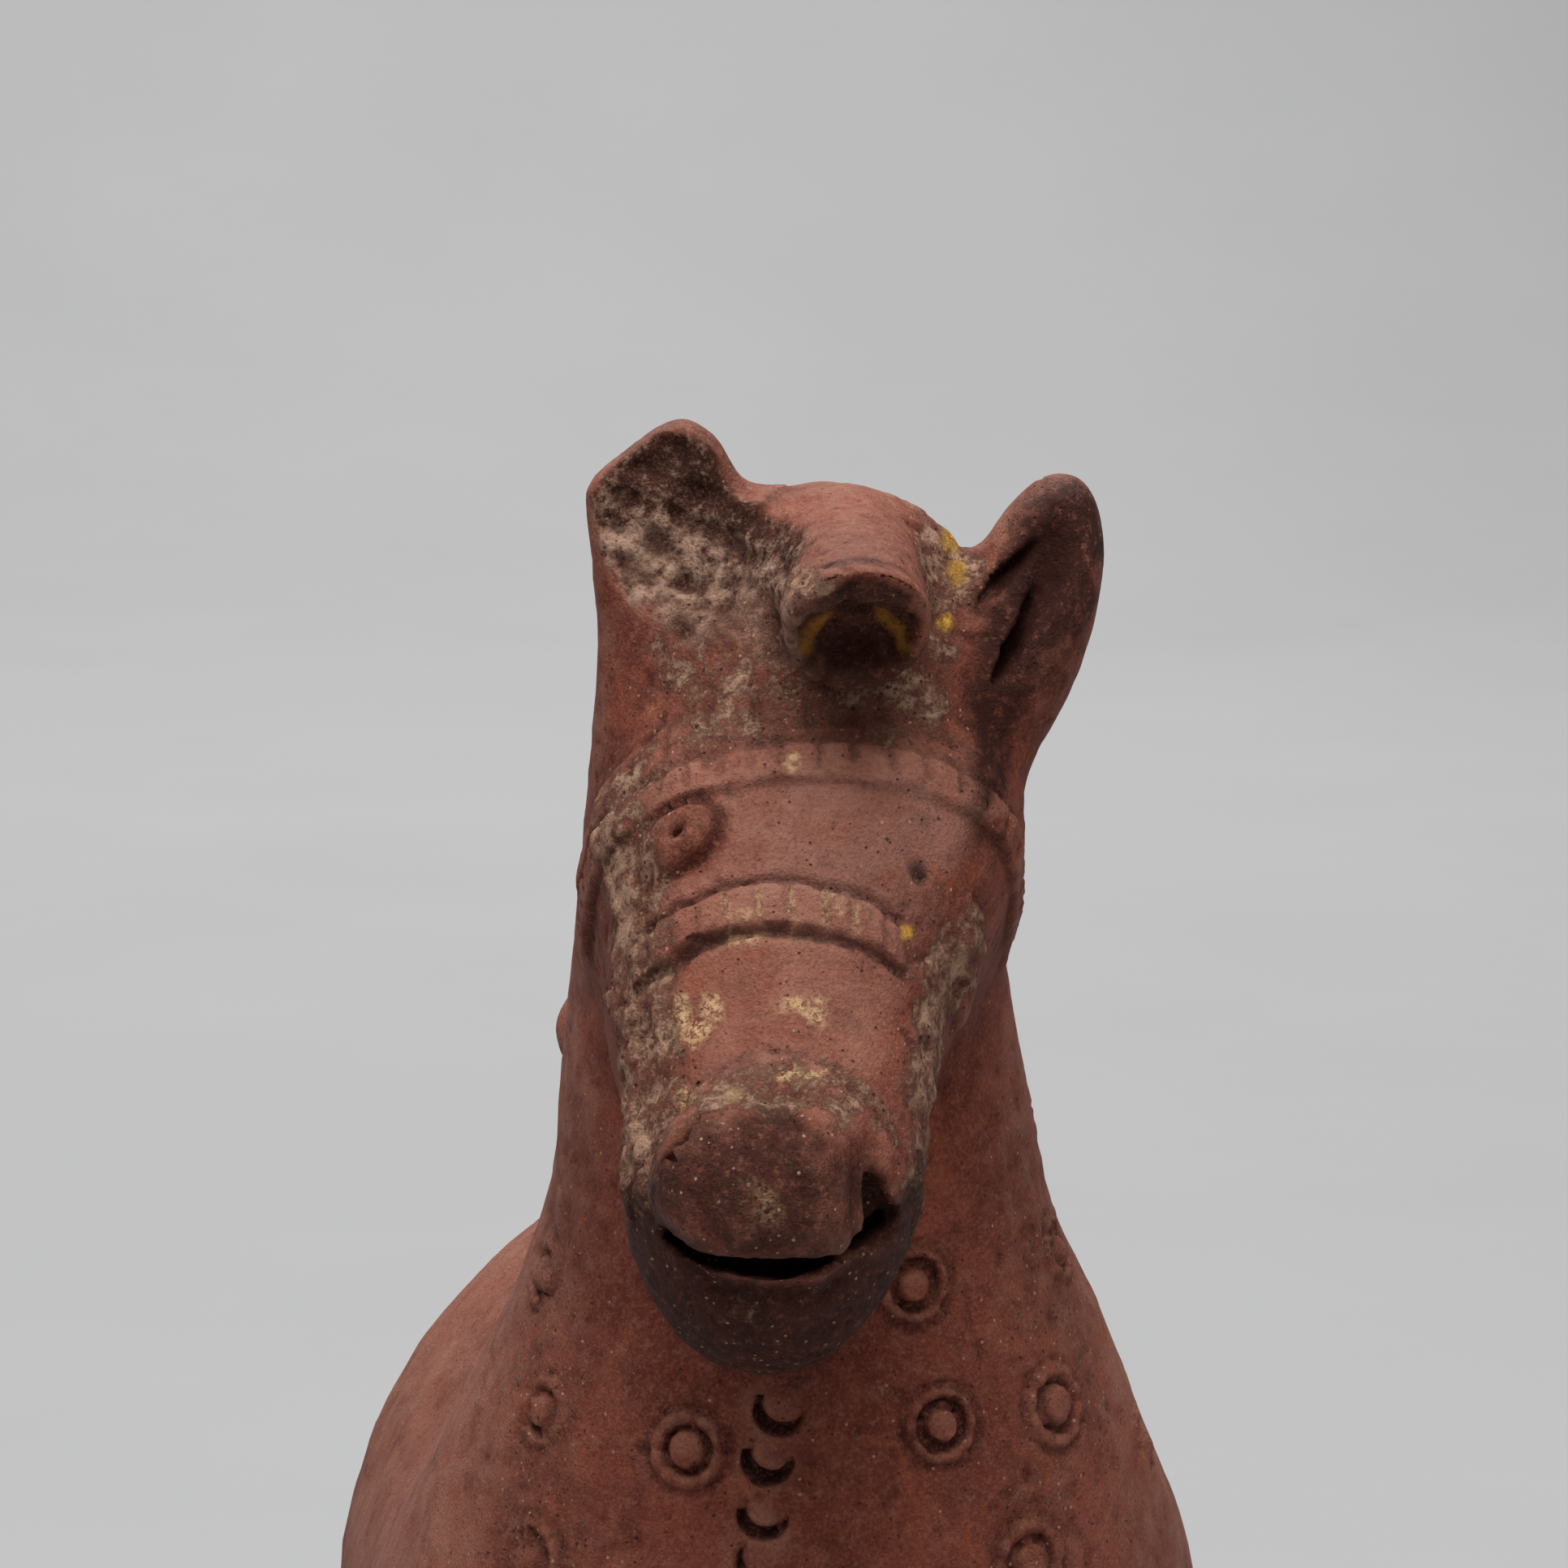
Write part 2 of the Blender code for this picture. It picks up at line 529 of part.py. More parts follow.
def skin(xs, ys, zs, field):
    """Closed skin of quads round the points where the field is less than 0."""
    f = np.empty((len(xs), len(ys), len(zs)), np.float32)
    for k in range(0, len(xs), 12):
        g = np.meshgrid(xs[k : k + 12], ys, zs, indexing="ij")
        p = np.stack([a.ravel() for a in g], 1)
        f[k : k + 12] = field(p).reshape(g[0].shape)
    inside = f < 0.0
    settle(inside, f)
    total = np.zeros([n - 1 for n in f.shape], np.int8)
    corners = [(i, j, k) for i in (0, 1) for j in (0, 1) for k in (0, 1)]
    nx, ny, nz = total.shape
    for i, j, k in corners:
        total += inside[i : i + nx, j : j + ny, k : k + nz]
    cells = np.argwhere((total > 0) & (total < 8))
    ids = np.full(total.shape, -1, np.int64)
    ids[tuple(cells.T)] = np.arange(len(cells))
    lines = (xs, ys, zs)
    place = np.zeros((len(cells), 3))
    count = np.zeros(len(cells))
    for a in corners:
        for axis in range(3):
            if a[axis]:
                continue
            b = list(a)
            b[axis] = 1
            ca = cells + np.array(a)
            cb = cells + np.array(b)
            fa = f[tuple(ca.T)].astype(float)
            fb = f[tuple(cb.T)].astype(float)
            cross = (fa < 0) != (fb < 0)
            t = np.where(cross, fa / np.where(cross, fa - fb, 1.0), 0.0)
            pa = np.stack([lines[n][ca[:, n]] for n in range(3)], 1)
            pb = np.stack([lines[n][cb[:, n]] for n in range(3)], 1)
            place += np.where(cross[:, None], pa + t[:, None] * (pb - pa), 0.0)
            count += cross
    place /= count[:, None]
    quads = []
    for axis in range(3):
        o1, o2 = [n for n in range(3) if n != axis]
        lo = [slice(None)] * 3
        hi = [slice(None)] * 3
        lo[axis] = slice(0, -1)
        hi[axis] = slice(1, None)
        change = inside[tuple(lo)] != inside[tuple(hi)]
        at = np.argwhere(change)
        keep = (at[:, o1] > 0) & (at[:, o2] > 0)
        at = at[keep]
        out = inside[tuple(lo)][tuple(at.T)]
        ring = []
        for d1, d2 in ((0, 0), (1, 0), (1, 1), (0, 1)):
            c = at.copy()
            c[:, o1] -= 1 - d1
            c[:, o2] -= 1 - d2
            ring.append(ids[tuple(c.T)])
        q = np.stack(ring, 1)
        flip = out if axis != 1 else ~out
        q[~flip] = q[~flip][:, ::-1]
        quads.append(q)
    return place, np.concatenate(quads)


def relief_at(points):
    """1 on the stamps and the bands, 0 on plain clay."""
    size = parts(ROUNDEL_WIDTH)
    near = np.zeros(len(points))
    for centre, _, share in ROUNDELS:
        far = np.sqrt(((points - centre) ** 2).sum(1)) / (0.5 * size * share)
        near = np.maximum(near, step(far, 1.5, 1.1))
    for centre, _ in CRESCENTS:
        near = np.maximum(near, 0.6 * step(np.sqrt(((points - centre) ** 2).sum(1)), 3.6, 2.8))
    q = (points - BROW) @ HEAD_AXES.T
    on_face = step(q[:, 2], -24.0, -14.0) * step(points[:, 1], -86.0, -92.0)
    return np.maximum(near, 0.3 * on_face)


def press(points, field, rounds):
    """Moves points onto the surface where the field is 0."""
    eps = 0.05
    for _ in range(rounds):
        value = field(points)
        grad = np.stack([field(points + eps * e) - value for e in np.eye(3)], 1) / eps
        size = np.maximum((grad**2).sum(1), 0.2)
        move = grad * (value / size)[:, None]
        far = np.sqrt((move**2).sum(1))
        points = points - move * np.minimum(1.0, 0.8 / np.maximum(far, 1e-9))[:, None]
    return points


for old in list(bpy.data.objects):
    bpy.data.objects.remove(old, do_unlink=True)

home = bpy.data.collections.new("terracotta_horse")
bpy.context.scene.collection.children.link(home)

terracotta = bpy.data.materials.new("terracotta")
terracotta.use_nodes = True
shader = terracotta.node_tree.nodes["Principled BSDF"]
shader.inputs["Base Color"].default_value = (0.235, 0.072, 0.045, 1.0)
shader.inputs["Roughness"].default_value = 0.72

reach = 0.5 * max(parts(BODY_WIDTH), parts(CHEST_WIDTH)) + 6.0
rear = -97.0 + parts(BODY_LENGTH) + 14.0
xs = spaced(-reach, reach, 2.6, (-26.0, 30.0, 0.95))
ys = spaced(-150.0, rear, 3.2, (-142.0, -92.0, 0.95))
# the lines lie closest where the lips are cut
gap_step = 0.38 * parts(MOUTH_GAP)
zs = spaced(-3.1, 288.0, 3.4, (176.0, 283.0, 0.95), (202.0, 211.5, gap_step))
points, quads = skin(xs, ys, zs, horse)
points = press(points, horse, 3)

mesh = bpy.data.meshes.new("horse")
mesh.from_pydata((points * PART).tolist(), [], quads.tolist())
mesh.materials.append(terracotta)
body = bpy.data.objects.new("horse", mesh)
home.objects.link(body)

plain = body.vertex_groups.new(name="plain")
detail = relief_at(points)
for level in range(1, 11):
    near = np.nonzero(np.round((1.0 - detail) * 10.0) == level)[0]
    plain.add(near.tolist(), 0.1 * level, "REPLACE")
thin = body.modifiers.new("fewer_faces", "DECIMATE")
thin.ratio = TRIANGLES / (2.0 * len(quads))
thin.vertex_group = "plain"
thin.vertex_group_factor = PLAIN_FACTOR
thin.use_collapse_triangulate = True
graph = bpy.context.evaluated_depsgraph_get()
done = bpy.data.meshes.new_from_object(body.evaluated_get(graph))
body.modifiers.clear()
body.data = done
bpy.data.meshes.remove(mesh)
done.name = "horse"

# Soles cut level, then the figure set over the middle of its own outline.
bm = bmesh.new()
bm.from_mesh(done)
sole = 0.6 * PART
cut = bmesh.ops.bisect_plane(
    bm,
    geom=bm.verts[:] + bm.edges[:] + bm.faces[:],
    dist=1e-7,
    plane_co=(0.0, 0.0, sole),
    plane_no=(0.0, 0.0, -1.0),
    clear_outer=True,
)
rims = [e for e in bm.edges if e.is_boundary]
bmesh.ops.holes_fill(bm, edges=rims, sides=0)
bmesh.ops.triangulate(bm, faces=[f for f in bm.faces if len(f.verts) > 3])
bmesh.ops.recalc_face_normals(bm, faces=bm.faces[:])
co = np.array([v.co[:] for v in bm.verts])
low = co.min(0)
high = co.max(0)
shift = np.array([-0.5 * (low[0] + high[0]), -0.5 * (low[1] + high[1]), -low[2]])
for v in bm.verts:
    v.co = (v.co[0] + shift[0], v.co[1] + shift[1], v.co[2] + shift[2])
bm.to_mesh(done)
bm.free()
done.shade_flat()
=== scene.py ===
import math

import bpy
import numpy as np
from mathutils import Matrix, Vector


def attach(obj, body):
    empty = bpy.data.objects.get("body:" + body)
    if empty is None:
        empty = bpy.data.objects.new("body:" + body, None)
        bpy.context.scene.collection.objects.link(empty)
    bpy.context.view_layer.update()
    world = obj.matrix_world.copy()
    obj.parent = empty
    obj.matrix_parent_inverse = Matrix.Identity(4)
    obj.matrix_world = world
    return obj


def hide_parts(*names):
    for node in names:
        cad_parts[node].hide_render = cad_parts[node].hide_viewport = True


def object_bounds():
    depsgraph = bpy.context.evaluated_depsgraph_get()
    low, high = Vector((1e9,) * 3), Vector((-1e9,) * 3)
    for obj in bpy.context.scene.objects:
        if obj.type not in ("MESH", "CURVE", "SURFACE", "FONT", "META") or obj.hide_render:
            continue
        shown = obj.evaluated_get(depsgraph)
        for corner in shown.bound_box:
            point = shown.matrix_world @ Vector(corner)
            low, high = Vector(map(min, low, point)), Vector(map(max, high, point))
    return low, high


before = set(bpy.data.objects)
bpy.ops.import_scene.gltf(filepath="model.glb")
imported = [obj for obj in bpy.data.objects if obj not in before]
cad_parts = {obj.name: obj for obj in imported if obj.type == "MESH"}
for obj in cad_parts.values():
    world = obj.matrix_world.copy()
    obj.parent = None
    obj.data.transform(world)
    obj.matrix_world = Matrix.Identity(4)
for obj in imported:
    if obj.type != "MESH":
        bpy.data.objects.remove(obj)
cad_low, cad_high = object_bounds()

# The horse is one piece of red clay, pinched and rolled by hand, joined wet, and fired. Its bands, eye and
# stamps are the same clay, set on or pressed in before firing. First come its sizes, then the forms of body,
# neck, head, ears, legs, tail and the knob on the back.
HEIGHT = 0.280  # sole to the top of the broken ear
BODY_LENGTH = 0.200  # front of the chest to the back of the rump
BODY_WIDTH = 0.090  # across the barrel
CHEST_WIDTH = 0.087  # across the shoulders
NECK_WIDTH = 0.0465  # across the neck below the head
HEAD_WIDTH = 0.0425  # across the head at the brow band
MUZZLE_WIDTH = 0.0280  # across the muzzle at the mouth
LEG_WIDTH = 0.0310  # across a leg below the belly
FOOT_WIDTH = 0.0270  # across a sole
TAIL_WIDTH = 0.0150  # across the tail
EAR_WIDTH = 0.0120  # across the whole ear
FORELOCK_WIDTH = 0.0134  # across the broken tuft between the ears
KNOB_WIDTH = 0.0400  # across the knob on the back
EYE_WIDTH = 0.0072  # across the eye pellet
EYE_RELIEF = 0.0016  # height of the eye pellet
BAND_WIDTH = 0.0038  # width of one bridle band
BAND_RELIEF = 0.0009  # height of the bridle bands
ROUNDEL_WIDTH = 0.0082  # across a stamped roundel
ROUNDEL_RELIEF = 0.0009  # height of a roundel's boss and depth of its ring
MOUTH_GAP = 0.0014  # opening of the lips
MOUTH_DEPTH = 0.0045  # depth of the cut between the lips

# The figure is set out in 280 parts of its own height.
PARTS = 280.0
PART = HEIGHT / PARTS

# Pose of the head: the face slopes down and forward.
FACE_PITCH = math.radians(52.0)
BROW = np.array([-2.0, -110.0, 240.0])  # middle of the forehead between the eyes
CHEST_FRONT = -97.0  # where the barrel begins
SHOULDER_JOIN = 14.0  # width over which neck and barrel run together


def parts(size):
    """A size in metres as parts of the height."""
    return size / PART


def smin(a, b, k):
    """Union of two forms with the clay smoothed over a width k."""
    h = np.clip(0.5 + 0.5 * (b - a) / k, 0.0, 1.0)
    return b + (a - b) * h - k * h * (1.0 - h)


def smax(a, b, k):
    """What two forms share, with the edge rounded over a width k."""
    return -smin(-a, -b, k)


def step(x, lo, hi):
    """0 below lo, 1 above hi, smooth between."""
    t = np.clip((x - lo) / (hi - lo), 0.0, 1.0)
    return t * t * (3.0 - 2.0 * t)


def bump(x, width):
    """1 at x = 0, falling to 0 at half the width on either side."""
    return step(-np.abs(x), -0.5 * width, 0.0)


def curve(s, xs, ys):
    """Smooth line through the stations (xs, ys), level beyond the ends."""
    xs = np.asarray(xs, float)
    ys = np.asarray(ys, float)
    slope = np.gradient(ys, xs)
    s = np.clip(s, xs[0], xs[-1])
    i = np.clip(np.searchsorted(xs, s) - 1, 0, len(xs) - 2)
    h = xs[i + 1] - xs[i]
    t = (s - xs[i]) / h
    return (
        (1 + 2 * t) * (1 - t) ** 2 * ys[i]
        + t * (1 - t) ** 2 * h * slope[i]
        + t * t * (3 - 2 * t) * ys[i + 1]
        + t * t * (t - 1) * h * slope[i + 1]
    )


def oval(a, b, ra, rb, n):
    """Distance outside the rounded section |a/ra|^n + |b/rb|^n = 1, less than 0 inside."""
    p = np.abs(a) / ra
    q = np.abs(b) / rb
    k = (p**n + q**n) ** (1.0 / n) + 1e-9
    g = k ** (1.0 - n) * np.hypot(p ** (n - 1) / ra, q ** (n - 1) / rb)
    return (k - 1.0) / np.maximum(g, 0.3 / np.maximum(ra, rb))


def lump(p, centre, axes, radii):
    """Distance outside an ellipsoid whose three axes are the rows of axes."""
    q = (p - centre) @ np.asarray(axes).T
    r = np.asarray(radii, float)
    k = np.sqrt(((q / r) ** 2).sum(1)) + 1e-9
    g = np.sqrt(((q / (r * r)) ** 2).sum(1)) + 1e-9
    return k * (k - 1.0) / g


def rod(p, start, end, r0, r1):
    """Distance outside a round rod from start to end, tapering from r0 to r1."""
    start = np.asarray(start, float)
    along = np.asarray(end, float) - start
    t = np.clip(((p - start) @ along) / (along @ along), 0.0, 1.0)
    off = p - start - t[:, None] * along
    return np.sqrt((off**2).sum(1)) - (r0 + (r1 - r0) * t)


def frame_of(direction, side):
    """Three unit rows: across, along the direction, and out."""
    along = np.asarray(direction, float)
    along = along / np.linalg.norm(along)
    out = np.cross(np.asarray(side, float), along)
    out /= np.linalg.norm(out)
    across = np.cross(along, out)
    return np.array([across, along, out])


# Head frame: across (to +X), down the face, and out of the face.
DOWN_FACE = np.array([0.0, -math.cos(FACE_PITCH), -math.sin(FACE_PITCH)])
OUT_FACE = np.array([0.0, -math.sin(FACE_PITCH), math.cos(FACE_PITCH)])
HEAD_AXES = np.array([[1.0, 0.0, 0.0], DOWN_FACE, OUT_FACE])


# Side profile of the neck and chest: height, front, back, share of the neck's and of the chest's extra width.
NECK_LINE = np.array(
    [
        (92, -68, 10, 1.00, 0.33, 0.0),
        (108, -83, 15, 1.00, 0.80, 0.5),
        (125, -92, 14, 1.00, 1.02, 1.2),
        (145, -96, 4, 1.00, 1.06, 2.0),
        (161, -97, -8, 1.00, 0.85, 2.6),
        (171, -96.5, -17, 1.00, 0.64, 2.8),
        (184, -95, -27, 1.00, 0.37, 2.8),
        (195, -94, -34, 1.00, 0.15, 2.2),
        (210, -93, -41, 1.00, 0.03, 1.2),
        (222, -93, -45, 0.95, 0.00, 0.6),
        (236, -95, -50, 0.90, 0.00, 0.8),
        (250, -98, -57, 0.86, 0.00, 1.8),
        (262, -100, -66, 0.74, 0.00, 2.4),
    ]
)

# Barrel: distance behind the chest as a share of the body's length, widest height, back above it, belly below
# it, share of the width.
BARREL_LINE = np.array(
    [
        (0.05, 126, 40, 30, 0.80),
        (0.22, 122, 48, 37, 0.95),
        (0.45, 119, 49, 37, 1.00),
        (0.65, 119, 50, 37, 1.00),
        (0.85, 119, 53, 39, 1.01),
        (1.00, 120, 48, 38, 0.94),
    ]
)

# Head: distance down the face, share of the extra width at the brow, share of the muzzle's width, middle,
# face, jaw.
HEAD_LINE = np.array(
    [
        (-46, 0.00, 0.92, 5.4, -12.0, -30),
        (-40, 0.20, 1.00, 5.0, -8.0, -36),
        (-28, 0.58, 1.00, 4.6, -3.5, -41),
        (-17, 0.80, 1.00, 3.6, -1.0, -42),
        (-10, 1.00, 1.00, 2.6, 0.3, -42),
        (-2.5, 0.82, 1.00, 1.8, 0.2, -41),
        (3, 0.60, 1.00, 0.6, -0.6, -39),
        (8, 0.44, 1.00, -0.5, -1.5, -37),
        (15, 0.22, 0.98, -1.4, -2.4, -34),
        (23, 0.06, 0.97, -1.9, -2.8, -31),
        (31, 0.00, 0.93, -2.6, -3.0, -29),
        (40, 0.00, 0.68, -3.2, -6.0, -26),
    ]
)


def barrel(p):
    """The body: upright ovals along the back, rounded off at chest and rump."""
    length = parts(BODY_LENGTH)
    s = (p[:, 1] - CHEST_FRONT) / length
    mid = curve(s, BARREL_LINE[:, 0], BARREL_LINE[:, 1])
    back = curve(s, BARREL_LINE[:, 0], BARREL_LINE[:, 2])
    belly = curve(s, BARREL_LINE[:, 0], BARREL_LINE[:, 3])
    wide = curve(s, BARREL_LINE[:, 0], BARREL_LINE[:, 4]) * 0.5 * parts(BODY_WIDTH)
    rise = p[:, 2] - mid
    d = oval(p[:, 0], rise, wide, np.where(rise > 0.0, back, belly), 1.75)
    front = CHEST_FRONT + 6.0 - p[:, 1]
    rear = p[:, 1] - (CHEST_FRONT + length)
    d = smax(d, front, 34.0)
    return smax(d, rear, 44.0)


def neck(p):
    """Neck and chest: level ovals that lean and widen towards the shoulders."""
    z = p[:, 2]
    st = NECK_LINE
    front = curve(z, st[:, 0], st[:, 1])
    back = curve(z, st[:, 0], st[:, 2])
    spare = 0.5 * (parts(CHEST_WIDTH) - parts(NECK_WIDTH))
    wide = curve(z, st[:, 0], st[:, 3]) * 0.5 * parts(NECK_WIDTH) + curve(z, st[:, 0], st[:, 4]) * spare
    shift = curve(z, st[:, 0], st[:, 5])
    d = oval(p[:, 0] - shift, p[:, 1] - 0.5 * (front + back), wide, 0.5 * (back - front), 2.2)
    d = smax(d, z - 264.0, 12.0)
    return smax(d, 92.0 - z, 26.0)


def head_bar(q):
    """The long head without its lips: ovals across the face direction."""
    v = q[:, 1]
    st = HEAD_LINE
    spare = 0.5 * (parts(HEAD_WIDTH) - parts(MUZZLE_WIDTH))
    wide = curve(v, st[:, 0], st[:, 1]) * spare + curve(v, st[:, 0], st[:, 2]) * 0.5 * parts(MUZZLE_WIDTH)
    mid = curve(v, st[:, 0], st[:, 3])
    top = curve(v, st[:, 0], st[:, 4])
    jaw = curve(v, st[:, 0], st[:, 5])
    d = oval(q[:, 0] - mid, q[:, 2] - 0.5 * (top + jaw), wide, 0.5 * (top - jaw), 2.5)
    d = smax(d, v - 37.0, 9.0)
    return smax(d, -44.0 - v, 10.0)


def muzzle(q):
    """The upper lip and the wider lower jaw that cups it."""
    share = parts(MUZZLE_WIDTH) / 28.0
    eye = np.eye(3)
    lip = lump(q, (-5.8, 32.8, -5.6), eye, (9.0 * share, 8.4, 6.6))
    lip = smin(lip, lump(q, (-0.6, 33.2, -6.2), eye, (4.4 * share, 7.8, 6.0)), 3.0)
    lip = smax(lip, q[:, 0] - 3.3 * share, 1.4)
    jaw = lump(q, (-3.6, 30.0, -19.0), eye, (12.0 * share, 14.6, 13.0))
    return lip, jaw


# Across the whole ear.
EAR_SIDE = (1.0, 0.25, 0.0)


def ears(p):
    """The broken ear at -X, the whole ear at +X."""
    wide = 0.5 * parts(EAR_WIDTH)
    stump = rod(p, (-12.0, -83.0, 246.0), (-13.3, -83.0, 271.3), 1.08 * wide, 1.24 * wide)
    bevel = -0.587 * (p[:, 0] + 16.6) + 0.81 * (p[:, 2] - 274.9)
    stump = smax(stump, bevel, 1.6)
    lean = frame_of((0.34, 0.10, 1.0), EAR_SIDE)
    whole = lump(p, (21.6, -88.0, 257.2), lean, (1.08 * wide, 16.3, 7.6))
    return stump, whole


def clay(p):
    """The figure before its carving: body, neck, head, ears, legs, tail and knob, run together."""
    q = (p - BROW) @ HEAD_AXES.T
    d = smin(barrel(p), neck(p), SHOULDER_JOIN)
    head = head_bar(q)
    lip, jaw = muzzle(q)
    head = smin(head, jaw, 5.0)
    head = smin(head, lip, 3.0)
    d = smin(d, head, 7.0)
    poll = lump(p, (2.6, -85.0, 261.5), np.eye(3), (14.2, 10.5, 10.6))
    poll = smin(poll, lump(p, (-3.0, -85.0, 262.2), np.eye(3), (9.0, 9.5, 9.3)), 1.5)
    d = smin(d, poll, 3.0)
    stump, whole = ears(p)
    d = smin(d, stump, 4.0)
    d = smin(d, whole, 4.0)
    half = 0.5 * parts(LEG_WIDTH)
    sole = 0.5 * parts(FOOT_WIDTH)
    apart = 0.5 * parts(BODY_WIDTH) - 0.78 * half
    rump = CHEST_FRONT + parts(BODY_LENGTH)
    for x in (-apart, apart):
        for y, lean in ((-60.0, -3.0), (rump - 27.0, 3.0)):
            leg = rod(p, (x, y, 92.0), (x * 0.98, y + lean, -8.0), half * 1.12, sole * 0.98)
            d = smin(d, leg, 11.0)
    tail = 0.5 * parts(TAIL_WIDTH)
    d = smin(d, rod(p, (0.0, rump - 16.0, 153.0), (0.0, rump + 0.5, 122.0), tail * 1.15, tail), 10.0)
    d = smin(d, rod(p, (0.0, rump + 0.5, 122.0), (0.0, rump - 3.0, 64.0), tail, tail * 0.7), 8.0)
    knob = 0.5 * parts(KNOB_WIDTH)
    upright = frame_of((0.0, 0.10, 1.0), (1.0, 0.0, 0.0))
    arch = lump(p, (0.0, 4.0, 178.0), upright, (0.72 * knob, 26.0, 8.0))
    roll = rod(p, (-knob + 6.4, 4.0, 201.0), (knob - 6.4, 4.0, 201.0), 6.4, 6.4)
    d = smin(d, smin(arch, roll, 5.0), 7.0)
    return d


# The broken end of the tuft: its middle, the way it faces, and the way down across it.
TUFT_END = np.array([2.9, -114.5, 260.7])
TUFT_OUT = np.array([0.0, -0.76, -0.65])
TUFT_DOWN = np.array([0.0, 0.65, -0.76])


def forelock(p):
    """The stout tuft that juts forward from the poll, broken off short."""
    r = 0.5 * parts(FORELOCK_WIDTH)
    d = rod(p, (4.0, -90.0, 264.6), (2.9, -122.0, 259.4), r * 1.08, r)
    cut = (p - TUFT_END) @ TUFT_OUT
    axes = frame_of((1.0, 0.0, 0.0), TUFT_DOWN)
    hollow = lump(p, (2.9, -114.3, 259.9), axes, (r * 0.74, r * 0.86, 3.2))
    return smax(smax(d, cut, 1.2), -hollow, 1.0)


# Roundels on the chest and the neck: across from the middle, height, and share of the full size. Crescents
# between them: across and height.
ROUNDELS_AT = (
    (-23.3, 201.2, 0.8),
    (27.4, 192.7, 0.9),
    (11.0, 193.2, 1.0),
    (-24.8, 190.2, 0.95),
    (-25.3, 177.9, 0.95),
    (-11.5, 177.0, 1.0),
    (13.6, 179.2, 1.0),
    (26.0, 179.0, 1.1),
    (-27.1, 163.6, 1.15),
    (22.9, 164.4, 1.1),
    (-36.4, 165.5, 0.9),
    (37.6, 170.5, 0.9),
    (-14.0, 150.0, 1.0),
    (8.5, 149.0, 1.0),
    (-31.5, 147.0, 1.0),
    (30.0, 148.5, 1.0),
    (-19.0, 134.0, 1.0),
    (17.0, 134.0, 1.0),
)
CRESCENTS_AT = ((-2.6, 181.2), (-3.8, 176.4), (-4.3, 170.9), (-4.6, 166.0), (-4.4, 160.6), (-4.2, 155.2))
# Half width of the chest that these places were set out on.
SET_OUT = 43.5

# Lip line: across, and distance down from the brow as seen from in front.
LIP_LINE = np.array(
    [
        (-17.0, 33.0),
        (-15.3, 34.3),
        (-11.7, 36.9),
        (-5.5, 38.4),
        (1.0, 37.8),
        (3.4, 36.8),
        (7.5, 33.8),
        (9.0, 32.5),
    ]
)


def surface_point(x, z):
    """The point of the bare clay's front at x and height z, and the way it faces."""
    ys = np.linspace(-125.0 if z < 190 else -101.0, -20.0, 420)
    line = np.stack([np.full_like(ys, x), ys, np.full_like(ys, z)], 1)
    values = smin(barrel(line), neck(line), SHOULDER_JOIN)
    inside = np.nonzero(values < 0.0)[0]
    if not len(inside):
        return None
    point = line[inside[0]]
    eps = 0.3
    probe = point + eps * np.vstack([np.eye(3), -np.eye(3)])
    f = smin(barrel(probe), neck(probe), SHOULDER_JOIN)
    normal = f[:3] - f[3:]
    return point, normal / np.linalg.norm(normal)


def place(spots):
    """Centres and facings of stamps on the chest, moved outwards as the chest is wider."""
    share = 0.5 * parts(CHEST_WIDTH) / SET_OUT
    found = []
    for x, z, *size in spots:
        hit = surface_point(x * share, z)
        if hit:
            found.append((*hit, *size))
    return found


ROUNDELS = place(ROUNDELS_AT)
CRESCENTS = place(CRESCENTS_AT)


def spaced(lo, hi, coarse, *zones):
    """Grid lines from lo to hi, closer together inside each zone, given as its two ends and its spacing."""
    lines = [lo]
    while lines[-1] < hi:
        x = lines[-1]
        gaps = [fine + 0.10 * max(start - x, x - end, 0.0) for start, end, fine in zones]
        lines.append(x + min(coarse, *gaps))
    return np.array(lines)


def corner(i, j, k):
    """One corner of every cell of the net."""
    return tuple(slice(1, None) if n else slice(0, -1) for n in (i, j, k))


# Value given to a point that is made clay.
JUST_INSIDE = -0.02


def settle(inside, f):
    """Fills corners where two bits of clay, or two of air, would meet only along an edge or at a point."""
    for _ in range(6):
        for j, k in ((0, 0), (0, 1), (1, 0), (1, 1)):
            clay_corners = np.zeros([n - 1 for n in f.shape], np.int8)
            for a in (0, 1):
                for b in (0, 1):
                    clay_corners += inside[corner(a, b, 0)]
                    clay_corners += inside[corner(a, b, 1)]
            first, last, beside = corner(0, j, k), corner(1, 1 - j, 1 - k), corner(1, j, k)
            air_pair = (clay_corners == 6) & ~inside[first] & ~inside[last]
            clay_pair = (clay_corners == 2) & inside[first] & inside[last]
            inside[first] |= air_pair
            f[first][air_pair] = JUST_INSIDE
            inside[beside] |= clay_pair
            f[beside][clay_pair] = JUST_INSIDE
        for a, b in ((0, 1), (0, 2), (1, 2)):
            lo, hi = slice(0, -1), slice(1, None)
            view = {}
            for da in (0, 1):
                for db in (0, 1):
                    key = [slice(None)] * 3
                    key[a] = hi if da else lo
                    key[b] = hi if db else lo
                    view[da, db] = tuple(key)
            for d0 in (0, 1):
                p0, p1 = view[0, d0], view[1, 1 - d0]
                q0, q1 = view[0, 1 - d0], view[1, d0]
                touch = inside[p0] & inside[p1] & ~inside[q0] & ~inside[q1]
                inside[q0] |= touch
                f[q0][touch] = JUST_INSIDE
    # a pocket of air no bigger than one point of the net, shut in on all sides, is clay
    middle = (slice(1, -1),) * 3
    shut_in = ~inside[middle]
    for axis in range(3):
        for way in (-1, 1):
            shut_in &= np.roll(inside, way, axis)[middle]
    inside[middle] |= shut_in
    f[middle][shut_in] = JUST_INSIDE


